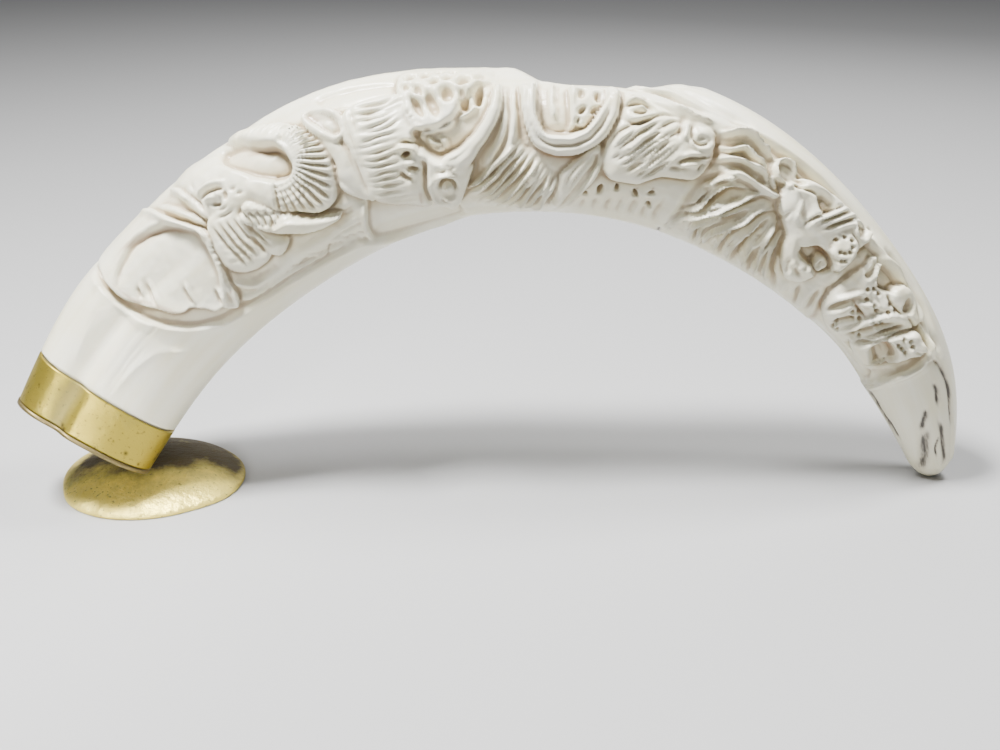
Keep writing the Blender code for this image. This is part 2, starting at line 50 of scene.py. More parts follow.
BAND_FROM = 1.3
BAND_TO = 12.5
BAND_SLANT = 1.1
BAND_THICKNESS = 0.8
BAND_PROUD = 0.1
FIT_GAP = 0.3
PLATE_THICKNESS = 0.9
PLATE_PROUD = 0.3
FOOT_X = -87.4
FOOT_RADII = (22.5, 22.5, 22.0, 22.4, 23.4, 24.6, 25.2, 23.9, 22.3, 21.9, 20.8, 19.9, 19.5, 19.9, 21.7)
FOOT_HEIGHT = 5.95
FOOT_SHEET = 0.9
FOOT_FLAT = 1.6
MIDDLE_X = -0.3
MIDDLE_Y = 1.1
SKIN_STEPS = 720

# How finely the tusk's skin is divided: most of it over the carved front.
CARVED_FROM = 33.0
CARVED_TO = 250.0
ROW_STEP = 0.46
ROWS_ROOT = 20
ROWS_PLAIN_TIP = 38
ROWS_ROUNDED_END = 10
COLUMNS_FRONT = 160
COLUMNS_BACK = 20
FRONT_SHARE = 0.52
BAND_ROWS = 36
BAND_COLUMNS = (210, 50, 0.55)
PLATE_COLUMNS = (100, 40, 0.5)
FOOT_COLUMNS = 160
FOOT_ROWS = 40

# How much is added to edges of the carving, by the reach in cells of the blur that finds them, and the
# girths where that and the raised forms stop, so that the tusk's outline stays plain.
CRISPNESS = ((2, 0.6), (8, 0.75))
CRISP_LIMITS = (-1.2, 0.9)
CRISP_TO_CREST = 17.0
CRISP_TO_INNER = 13.0
CRISP_FADE = 4.0
RAISED_TO_CREST = 14.5
RAISED_TO_INNER = 12.5
RAISED_FADE = 4.5
HAND_WANDER = 0.08
METRES_PER_MILLIMETRE = 0.001

CAMERA_PLACE = (0.0, -291.4, 156.0)
CAMERA_DOWN = 23.5
CAMERA_LENS = 46.8

# Stage, in metres, and its light.
FLOOR_REACH = 6.0
FLOOR_BELOW = 0.0002
FLOOR_GREY = 0.43
SKY_COLOUR = (0.95, 0.97, 1.0)
SKY_STRENGTH = 0.09

# The ivory's colours, from its skin to its deepest cuts. The tan for recesses and the brown for crevices
# are partly patina in the cuts and partly painted shade, and the brown for the marked edges, mouths, eyes
# and pits is painted shadow.
CREAM = (0.84, 0.81, 0.64)
HONEY = (0.78, 0.73, 0.52)
PALE = (0.85, 0.84, 0.735)
RECESS_PATINA_AND_SHADE_TAN = (0.66, 0.56, 0.38)
CREVICE_PATINA_AND_SHADE_BROWN = (0.40, 0.31, 0.20)
PAINTED_SHADOW_BROWN = (0.36, 0.22, 0.12)
CRACK_EDGE = (0.33, 0.28, 0.22)
CRACK_DARK = (0.05, 0.04, 0.03)
BRASS_SPECK = (0.10, 0.07, 0.03)
BRASS_PIT_SHADE = (0.03, 0.02, 0.01)


def natural_spline(values, at):
    """A smooth curve through values at 0, 1, 2 and so on, read at the places given."""
    values = np.asarray(values, float)
    count = len(values)
    matrix = np.zeros((count, count))
    right = np.zeros(count)
    matrix[0, 0] = 1.0
    matrix[-1, -1] = 1.0
    for i in range(1, count - 1):
        matrix[i, i - 1:i + 2] = (1.0, 4.0, 1.0)
        right[i] = 6.0 * (values[i + 1] - 2.0 * values[i] + values[i - 1])
    bend = np.linalg.solve(matrix, right)
    i = np.clip(np.floor(at).astype(int), 0, count - 2)
    f = at - i
    low = ((1.0 - f) ** 3 - (1.0 - f)) * bend[i] / 6.0
    high = (f ** 3 - f) * bend[i + 1] / 6.0
    return (1.0 - f) * values[i] + f * values[i + 1] + low + high


def middle_line(steps=1201):
    """Length along the tusk, points of its middle line, directions, half width and half depth."""
    at = np.linspace(0.0, len(STATION_X) - 1.0, steps)
    points = np.stack([natural_spline(v, at) for v in (STATION_X, STATION_Y, STATION_Z)], axis=1)
    width = natural_spline(HALF_WIDTH, at)
    depth = width * natural_spline(DEPTH_SHARE, at)
    pieces = np.linalg.norm(np.diff(points, axis=0), axis=1)
    length = np.concatenate([[0.0], np.cumsum(pieces)])
    heading = np.gradient(points, length, axis=0)
    heading /= np.linalg.norm(heading, axis=1, keepdims=True)
    return length, points, heading, width, depth


LENGTH, LINE, HEADING, WIDTH, DEPTH = middle_line()
TUSK_LENGTH = LENGTH[-1]


def station(s):
    """Middle point, heading, outward and front directions, half width and half depth at length s."""
    inside = min(max(s, 0.0), TUSK_LENGTH)
    point = np.array([np.interp(inside, LENGTH, LINE[:, i]) for i in range(3)])
    heading = np.array([np.interp(inside, LENGTH, HEADING[:, i]) for i in range(3)])
    heading /= np.linalg.norm(heading)
    point = point + (s - inside) * heading
    outward = np.array([-heading[2], 0.0, heading[0]])
    outward /= np.linalg.norm(outward)
    front = np.cross(heading, outward)
    width = np.interp(inside, LENGTH, WIDTH)
    depth = np.interp(inside, LENGTH, DEPTH)
    return point, heading, outward, front, width, depth


def groove(s, g):
    """The tusk's natural long hollow on its front near the root, steeper on its inner side."""
    fade = np.clip((60.0 - s) / 30.0, 0.0, 1.0)
    width = np.where(g < GROOVE_GIRTH, GROOVE_WIDTHS[0], GROOVE_WIDTHS[1])
    return -GROOVE_DEPTH * fade * np.exp(-((g - GROOVE_GIRTH) / width) ** 2)


def section(s, shares):
    """Points on the bare skin round the tusk at length s, their girths g and their outward directions."""
    point, heading, outward, front, width, depth = station(s)
    turn = np.linspace(-np.pi / 2, 1.5 * np.pi, SKIN_STEPS + 1)
    c = np.cos(turn)
    d = np.sin(turn)
    reach = (np.abs(c / width) ** SQUARENESS + np.abs(d / depth) ** SQUARENESS) ** (-1.0 / SQUARENESS)
    out_all = reach * c
    front_all = reach * d
    steps = np.hypot(np.diff(out_all), np.diff(front_all))
    girth = np.concatenate([[0.0], np.cumsum(steps)])
    girth -= girth[SKIN_STEPS // 2]
    g = shares * girth[-1]
    o = np.interp(-g, girth, out_all)
    f = np.interp(-g, girth, front_all)
    lean_o = np.sign(o) * np.abs(o / width) ** (SQUARENESS - 1.0) / width
    lean_f = np.sign(f) * np.abs(f / depth) ** (SQUARENESS - 1.0) / depth
    size = np.hypot(lean_o, lean_f)
    skin = point + o[:, None] * outward + f[:, None] * front
    away = (lean_o / size)[:, None] * outward + (lean_f / size)[:, None] * front
    return skin, g, away, o / width, heading


def ramp(value):
    return np.clip(value, 0.0, 1.0)


def eased(share):
    return share * share * (3.0 - 2.0 * share)


# Paths over the tusk's skin

def curve_through(a, b, c, d, f):
    """A smooth curve from b to c at the share f, with a before them and d after them."""
    return 0.5 * (2 * b + (c - a) * f + (2 * a - 5 * b + 4 * c - d) * f ** 2
                  + (3 * b - 3 * c + d - a) * f ** 3)


def smooth_path(points, closed, steps=6):
    """A smooth path through the points."""
    points = np.asarray(points, float)
    if closed:
        padded = np.vstack([points[-1:], points, points[:2]])
    else:
        padded = np.vstack([2 * points[:1] - points[1:2], points, 2 * points[-1:] - points[-2:-1]])
    path = []
    for i in range(1, len(padded) - 2):
        a, b, c, d = padded[i - 1:i + 3]
        for f in np.arange(steps) / steps:
            path.append(curve_through(a, b, c, d, f))
    path.append(padded[-2] if not closed else path[0])
    return np.array(path)


def distance_to(path, s, g):
    """Distance to the path, the share of its length at the nearest place, and on which side it lies."""
    best = np.full(s.shape, 1e9)
    share = np.zeros(s.shape)
    side = np.zeros(s.shape)
    lengths = np.linalg.norm(np.diff(path, axis=0), axis=1)
    before = np.concatenate([[0.0], np.cumsum(lengths)])
    for i, run in enumerate(lengths):
        if run < 1e-9:
            continue
        ds, dg = (path[i + 1] - path[i]) / run
        t = np.clip((s - path[i, 0]) * ds + (g - path[i, 1]) * dg, 0.0, run)
        away = np.hypot(s - path[i, 0] - t * ds, g - path[i, 1] - t * dg)
        nearer = away < best
        best = np.where(nearer, away, best)
        share = np.where(nearer, (before[i] + t) / before[-1], share)
        side = np.where(nearer, ds * (g - path[i, 1]) - dg * (s - path[i, 0]), side)
    return best, share, side


def inside_of(path, s, g):
    """Whether each place lies inside the closed path, by counting crossings."""
    crossings = np.zeros(s.shape, int)
    for (s0, g0), (s1, g1) in zip(path[:-1], path[1:]):
        straddles = (g0 > g) != (g1 > g)
        at = s0 + (g - g0) * (s1 - s0) / (g1 - g0 + 1e-12)
        crossings += straddles & (s < at)
    return crossings % 2 == 1


def near(path, s, g, margin):
    low = path.min(axis=0) - margin
    high = path.max(axis=0) + margin
    return (s > low[0]) & (s < high[0]) & (g > low[1]) & (g < high[1])


def signed_distance(path, s, g):
    """Distance to the closed path, above nothing inside it and below nothing outside."""
    away = distance_to(path, s, g)[0]
    return np.where(inside_of(path, s, g), away, -away)


def between(first, last, share):
    return [(a[0] + (b[0] - a[0]) * share, a[1] + (b[1] - a[1]) * share) for a, b in zip(first, last)]


def moved(path, along, across):
    return [(a + along, b + across) for a, b in path]


def arc(middle, radius, first, last, steps=6):
    turns = np.radians(np.linspace(first, last, steps))
    return [(middle[0] + radius * np.cos(t), middle[1] + radius * np.sin(t)) for t in turns]


def soft_max(a, b, blend):
    return 0.5 * (a + b + np.sqrt((a - b) ** 2 + blend ** 2))


class Carving:
    """A height field h over the places s and g, with the tools that shape it."""

    def __init__(self, s, g):
        self.s = s
        self.g = g
        self.h = np.zeros(s.shape)

    def around(self, points, margin):
        """Which places lie near a closed outline, and how far inside it each of them is."""
        path = smooth_path(points, True)
        here = near(path, self.s, self.g, margin)
        return here, signed_distance(path, self.s[here], self.g[here])

    def form(self, points, top, rounding, drop, wall=2.6, blend=0.16):
        """A rounded mass that grows out of whatever lies there: it only adds where it stands higher.
        top is its level, and drop is how far it falls away over the rounding to its edge."""
        here, signed = self.around(points, 3.0)
        share = ramp(signed / rounding)
        level = top - drop * (1.0 - np.sqrt(share * (2.0 - share))) + wall * np.minimum(signed, 0.0)
        self.h[here] = soft_max(self.h[here], level, blend)

    def basin(self, points, floor, wall=1.6, tilt=(0.0, 0.0), blend=0.2, bowl=0.0):
        """A scooped hollow with a sloping wall: it only takes away where its floor lies deeper.
        bowl is how much deeper it is away from its border, and tilt is how much the floor rises
        for each millimetre along and across."""
        here, signed = self.around(points, 3.0)
        middle = smooth_path(points, True).mean(axis=0)
        sunk = bowl * ramp(signed / 3.0)
        level = floor - sunk - wall * np.minimum(signed, 0.0)
        level = level + tilt[0] * (self.s[here] - middle[0]) + tilt[1] * (self.g[here] - middle[1])
        self.h[here] = -soft_max(-self.h[here], -level, blend)

    def moat(self, outlines, depth, fade):
        """Sinks the ground close round a group of forms."""
        union = np.full(self.s.shape, -1e3)
        for points in outlines:
            here, signed = self.around(points, 3.0 * fade)
            union[here] = np.maximum(union[here], signed)
        self.h -= depth * np.exp(np.minimum(union, 0.0) / fade)

    def hollow(self, points, depth, soft):
        """Sinks a zone gently, deepest away from its border."""
        here, signed = self.around(points, soft)
        self.h[here] -= depth * eased(ramp(signed / soft))

    def level_zone(self, points, level, soft):
        """Brings a zone to one level with a soft border."""
        signed = signed_distance(smooth_path(points, True), self.s, self.g)
        mix = eased(ramp(0.5 + signed / (2.0 * soft)))
        self.h[:] = self.h * (1.0 - mix) + level * mix

    def stroke(self, points, depth, width, taper=0.3, kind="soft"):
        """A groove along a path, or a ridge when depth is below nothing. A wave is steep on the
        left of its way and slopes gently on the right."""
        path = smooth_path(points, False)
        here = near(path, self.s, self.g, (6.0 if kind == "wave" else 3.0) * width)
        if not here.any():
            return
        away, share, side = distance_to(path, self.s[here], self.g[here])
        strength = np.clip(np.minimum(share, 1.0 - share) / taper, 0.12, 1.0)
        if kind == "soft":
            profile = np.exp(-(away / width) ** 2)
        elif kind == "cut":
            profile = np.maximum(1.0 - away / (1.3 * width), 0.0) ** 1.2
        elif kind == "wave":
            profile = np.exp(-away / np.where(side > 0.0, 0.5 * width, 1.9 * width))
        else:
            profile = np.exp(-away / width)
        self.h[here] -= depth * strength * profile

    def lines(self, depth, width, paths, taper=0.3, kind="soft"):
        for path in paths:
            self.stroke(path, depth, width, taper, kind)

    def strokes(self, first, last, count, depth, width, taper=0.3, kind="cusp", wander=0.0, seed=1):
        """Grooves or ridges spread evenly between two guide paths with the same number of points."""
        chance = np.random.default_rng(seed)
        for i in range(count):
            path = between(first, last, i / max(count - 1, 1))
            path = [(a + wander * chance.normal(), b + wander * chance.normal()) for a, b in path]
            self.stroke(path, depth * chance.uniform(0.8, 1.2), width, taper, kind)

    def pit(self, place, radius, depth, long=1.0, turn=0.0):
        """A drilled or gouged hollow. long stretches it along the direction turn, in degrees."""
        away_s = self.s - place[0]
        away_g = self.g - place[1]
        c = np.cos(np.radians(turn))
        d = np.sin(np.radians(turn))
        along = (away_s * c + away_g * d) / long
        across = -away_s * d + away_g * c
        far = np.hypot(along, across) / radius
        self.h -= depth * np.exp(-far ** 4)


# The carved field and what lies between the animals.

FIELD = ((35.2, 26), (34.6, 14), (34.6, 8), (36, 2), (40, -4.5), (46, -9.5), (52, -12), (62, -13.2),
    (78, -14.5), (90, -15), (96, -18), (106, -19), (122, -21), (150, -22), (175, -23), (200, -22),
    (226, -20), (250, -17), (248, -8), (248.5, 0), (246.5, 5), (240, 9), (230, 11.6), (218, 11.2),
    (205, 14.4), (186, 15.6), (170, 16), (164, 17.8), (157, 19.6), (154, 38), (130, 42), (60, 42), (38, 38))
CROWN = ((33, 20), (37, 21.4), (42, 25), (50, 28), (80, 27), (112, 25.5), (130, 25), (139, 27), (140, 44),
    (100, 46), (60, 46), (30, 44))
SADDLE = ((141.4, 22.6), (147, 20.6), (155, 20.6), (161, 22), (162.6, 27), (161, 36), (149, 38),
    (138.6, 37), (137.4, 27))
INNER_CURVE = ((121, -16), (150, -15), (178, -16), (200, -16), (224, -13), (244, -14), (240, -24),
    (200, -27), (150, -27), (122, -26))
TIP_FACE = ((248, 5.5), (251, 7.2), (259, 7.4), (268, 6.4), (277, 5.4), (284, 5), (284, -30), (252, -30),
    (249.4, -14), (248.4, -9), (247.6, -4))


def ground(tusk):
    tusk.level_zone(FIELD, -1.5, 0.7)
    tusk.level_zone(INNER_CURVE, -0.9, 5.0)
    tusk.level_zone(CROWN, -0.1, 2.6)
    tusk.level_zone(SADDLE, -4.0, 5.4)
    tusk.hollow(((160, 24), (166, 22), (171, 24), (171, 34), (165, 38), (160, 34)), 0.7, 4.0)
    tusk.hollow(((116, 22), (120, 21), (124, 22), (125, 34), (120, 38), (115, 34)), 0.5, 3.0)
    tusk.level_zone(TIP_FACE, -0.45, 0.5)
    # Shallow cuts of a knife across the root's plain skin.
    tusk.hollow(((30, 12), (31, 17), (37, 16.4), (36.6, 9.6)), 0.25, 1.2)
    tusk.stroke(((26, 14), (31, 10.4), (35, 10)), 0.16, 0.6)
    tusk.lines(-0.4, 1.0, (((14.5, -1.5), (20.5, -2.2), (28.5, -3.7), (31.4, -5), (34, -8), (36.6, -10.4)),
        ((15.4, 9.6), (22, 11), (28, 12.6), (34, 15))), 0.15, "cusp")
    tusk.lines(0.10, 0.35, (((14, 2), (34, 2)), ((14, 0), (38, -0.4)), ((14, -1), (30, -1.6))), 0.1)


def elephant(tusk):
    ear = ((36.6, 20), (36, 14), (36, 10), (37.5, 6.2), (40, 2), (42.2, -1.4), (44, -2.8), (46, -3.1),
        (48.4, -5.4), (49.8, -7.6), (51.6, -8), (53.6, -9.8), (55.8, -9.8), (57, -5), (58.8, -1), (60, 3),
        (61.4, 7.6), (58, 13), (55, 19), (52, 27), (46, 32), (40, 31), (37, 26))
    dish = ((42.6, 16.4), (45.4, 17.8), (49, 17.2), (52.6, 15.8), (56.4, 13.2), (59.1, 10), (59.8, 7.4),
        (58.6, 1.6), (55.8, -4.6), (54, -10.4), (48, -10), (40, -5), (35, 3), (36, 11), (39.6, 15))
    head = ((60.5, 19), (62.6, 15.4), (63.6, 10), (66, 5), (71, 4), (77, 3), (80, 5), (81.4, 9.6), (77, 14),
        (73.4, 20), (71, 28), (68, 33), (60, 33), (58, 27))
    cheek = ((61.6, 7), (60.2, 3), (59.6, -1), (61.2, -4.2), (64.5, -6), (68, -6.3), (70, -5.5), (70.8, -3),
        (71.8, 2), (71.6, 7), (68, 10), (64, 10))
    lip = ((69.4, 3), (69.2, -1), (69.4, -4.4), (70.4, -5.8), (72.2, -6.9), (75, -6), (75.8, -4.6),
        (74.8, -2), (73.6, 1), (71.4, 3.6))
    trunk = ((75.6, 3.4), (79, 0.9), (82, -0.7), (86.5, -3), (90.5, -2.2), (93, 1.6), (94, 6.8), (93.8, 11),
        (91.5, 16), (88.4, 20), (84, 24), (79, 28.4), (74, 30), (77.4, 23.4), (81, 19), (85, 14),
        (85.8, 11), (85.2, 9), (83.4, 7.8), (80.6, 9), (76, 12), (73, 9))
    hole = ((73, 20.4), (76.4, 14.4), (80.6, 9.6), (83.6, 8), (85.4, 9.4), (85.6, 12.4), (84.4, 15),
        (81.6, 17.6), (79, 20.6), (76.4, 24), (73, 26))
    socket = ((70.2, 4.6), (70.8, 6.5), (72.6, 7.6), (74.6, 7), (77, 3.6), (78.4, 1), (76.4, -0.2),
        (74, -0.7), (72, 1.4))
    small_tusk = ((74, -0.6), (76.4, 0.9), (79.2, 1), (81.6, -1.2), (84.8, -3.4), (88.8, -5), (90.2, -5.9),
        (86.4, -6.3), (81.8, -5.5), (77.6, -3.6), (75, -1.9))
    tusk.moat((ear, cheek, lip, trunk, small_tusk), 0.85, 1.7)
    tusk.form(ear, -0.15, 1.4, 0.3, 4.0)
    tusk.basin(dish, -0.95, 1.3, (-0.055, -0.05), 0.2)
    # Folds run from the skyline down between the ear and the head.
    tusk.lines(-0.75, 0.8, (((50, 27), (53, 21.8), (56.5, 15), (60, 10), (62, 6)),
        ((53.4, 27), (55.5, 22.2), (59.5, 15), (62.2, 9.4), (63.4, 5.6))), 0.15)
    tusk.form(head, 0.35, 8.5, 2.0, 2.6)
    tusk.stroke(((57.4, 27), (60, 22.8), (62.4, 15.4), (63.3, 10), (64, 6.6), (65.4, 3)), -0.75, 0.75, 0.15)
    tusk.lines(0.6, 0.45, (((51.8, 27), (54.4, 21.8), (58, 15), (61, 9.8), (62.4, 7)),
        ((54.6, 27), (57.4, 22), (60.9, 15.2), (62.8, 9.8), (63.6, 7)),
        ((59, 27), (61.4, 22.4), (63.8, 15.6), (64.6, 11.4))), 0.15, "cusp")
    # The rim that closes the ear toward the cheek, and the veins.
    tusk.stroke(((60, 9.4), (59.6, 4), (57.6, -1.8), (54, -6.6), (52.4, -8.6)), -0.8, 0.7, 0.15)
    tusk.stroke(((60.6, 5.6), (59, 0.6), (57, -4), (55, -8.4)), 0.4, 0.4, 0.15, "cusp")
    veins = (((41.4, 9.8), (39.8, 6.4)), ((43.6, 9.2), (40.9, 1.8)), ((49.5, 2.6), (47.8, -3.8)),
        ((54.8, -3.4), (53, -7.2)))
    tusk.lines(-0.4, 0.45, veins)
    tusk.lines(0.4, 0.42, [moved(vein, -0.9, -0.2) for vein in veins])
    tusk.form(cheek, 0.15, 4.5, 1.2, 3.6)
    tusk.form(lip, -0.25, 2.4, 1.0, 3.6)
    for i in range(5):
        start = (63.6 + 1.7 * i, 8.2 - 0.5 * i)
        stop = (64.2 + 1.9 * i, -4.2 + 0.3 * i)
        tusk.stroke((start, (start[0] + 0.2, 2), stop), 0.5, 0.42, 0.2)
        tusk.stroke(moved((start, (start[0] + 0.2, 2), stop), 0.8, 0), -0.25, 0.4, 0.2)
    tusk.strokes(((62, 6.6), (65, 4.4), (68, 3)), ((61.4, -0.6), (65, -2.4), (68, -3.4)), 5, 0.1, 0.36, 0.3,
        "soft", 0.2, 2)
    tusk.stroke(((70.2, 3.8), (69.8, 0), (69.6, -4.4)), 0.55, 0.45, 0.2)
    # The trunk round its deep hollow, ribbed like a shell.
    tusk.form(trunk, 0.5, 4.4, 1.3, 3.2)
    tusk.basin(hole, -2.7, 2.4, (0.02, -0.03), 0.3)
    curl = (83.0, 12.6)

    def rib(turn, start, reach):
        middle = 0.5 * (reach + 3.6)
        return [(curl[0] + r * np.cos(turn), curl[1] + r * np.sin(turn)) for r in (start, middle, reach)]

    for turn in np.radians(np.linspace(42.0, -112.0, 19)):
        reach = np.interp(np.degrees(turn), (-112, -95, -75, -60, -45, -20, 0, 42),
            (11.5, 13, 15.2, 15.6, 14, 11.6, 10.2, 9.4))
        tusk.stroke(rib(turn, 3.6, reach), 0.6, 0.42, 0.15)
        tusk.stroke(rib(turn - np.radians(4.3), 3.8, reach), -0.3, 0.4, 0.15)
    tusk.lines(0.14, 0.35, [arc(curl, r, -56, -120) for r in (6.2, 7.6, 9.0, 10.4)], 0.2)
    tusk.strokes(((86.6, 16.4), (90.6, 18.4)), ((77.2, 24.6), (80.4, 28)), 12, 0.5, 0.4, 0.25, "soft", 0.2,
        6)
    # The eye under its brow.
    tusk.lines(-0.5, 0.55, (((64.4, 15.6), (67, 16), (69.6, 15.6), (72.2, 14.2)),
        ((65.6, 13.4), (67.4, 13), (68.2, 12.2))), 0.2)
    tusk.lines(0.65, 0.45, (((64.5, 14.6), (67, 14.6), (69.4, 14), (71.2, 12.8)),
        ((70.4, 13), (70.4, 11.6), (69.6, 10.6)), ((66.6, 12), (67.6, 10.9), (69, 10.4))), 0.3)
    tusk.lines(0.3, 0.4, (((66.4, 10.4), (68, 9.4), (70, 9.2)), ((71.6, 12.4), (73.4, 11.4)),
        ((64.6, 17.2), (64.8, 20)), ((65, 8.6), (68, 8), (70.6, 8.2)), ((72.4, 10.6), (74.4, 9.8))))
    tusk.pit((69.2, 12.6), 0.7, -0.45, 1.2, 100)
    tusk.form(socket, 0.95, 2.2, 0.8, 4.0)
    tusk.lines(0.75, 0.5, [((71 + 1.5 * i, 7.4 - 1.1 * i), (71.9 + 1.4 * i, 4.6 - 0.9 * i),
        (71.6 + 1.2 * i, 1.8 - 0.7 * i)) for i in range(5)], 0.15)
    tusk.form(small_tusk, 0.95, 2.4, 1.3, 5.0)
    tusk.stroke(((74.6, -0.9), (78.4, -1), (82, -2.8), (88.6, -5.4)), -0.45, 0.5, 0.15, "cusp")
    tusk.stroke(((75, -2.8), (78, -4.6), (82.4, -6.5), (87, -7.2), (90.6, -6.6)), 0.7, 0.45, 0.15, "cusp")
    # Scoops and fine scratches in the ground below the head.
    tusk.lines(0.4, 1.3, (((61, -7.6), (66, -8.8), (72, -8.8)), ((76, -7.2), (82, -8.4), (88, -8.8)),
        ((86, -8), (91, -6.8), (95, -4.6))))
    tusk.strokes(((86.6, -7.4), (94.4, -5.2)), ((83, -11), (95, -10)), 5, 0.28, 0.45)
    tusk.strokes(((69, -11), (73.6, -13.2)), ((90, -11.6), (94, -13.4)), 11, 0.26, 0.4, 0.3, "cusp", 0.5, 5)
    tusk.lines(0.3, 0.35, (((80.8, -14.4), (82.6, -12.8), (84, -11.4)), ((72, -12.4), (80, -13.2))))
    tusk.lines(-0.6, 0.9, (((57, -3), (58.8, -7), (62, -9.4), (66, -10.4)),
        ((55.8, -9.6), (59, -11), (64, -11.8))))
    # The crest where the front turns to the plain inner face, and the scoop between it and the next head.
    tusk.stroke(((54, -9.8), (60.5, -12.2), (71, -13), (83, -13.7), (93.5, -15)), -0.55, 1.0, 0.1, "cusp")
    scoop = ((98.6, -5.4), (96.4, -9), (94.6, -14.4), (96.4, -17.4), (106, -20.2), (118, -19.4),
        (119.6, -14), (114.6, -11.4), (106, -8.8), (101.4, -7))
    tusk.basin(scoop, -2.3, 1.3, (0.0, -0.03), 0.2, 0.3)
    tusk.stroke(((97.6, -4.4), (95, -9), (93.4, -14.6), (95.4, -18), (105, -21), (118, -20.4)), -0.7, 0.8,
        0.1, "cusp")


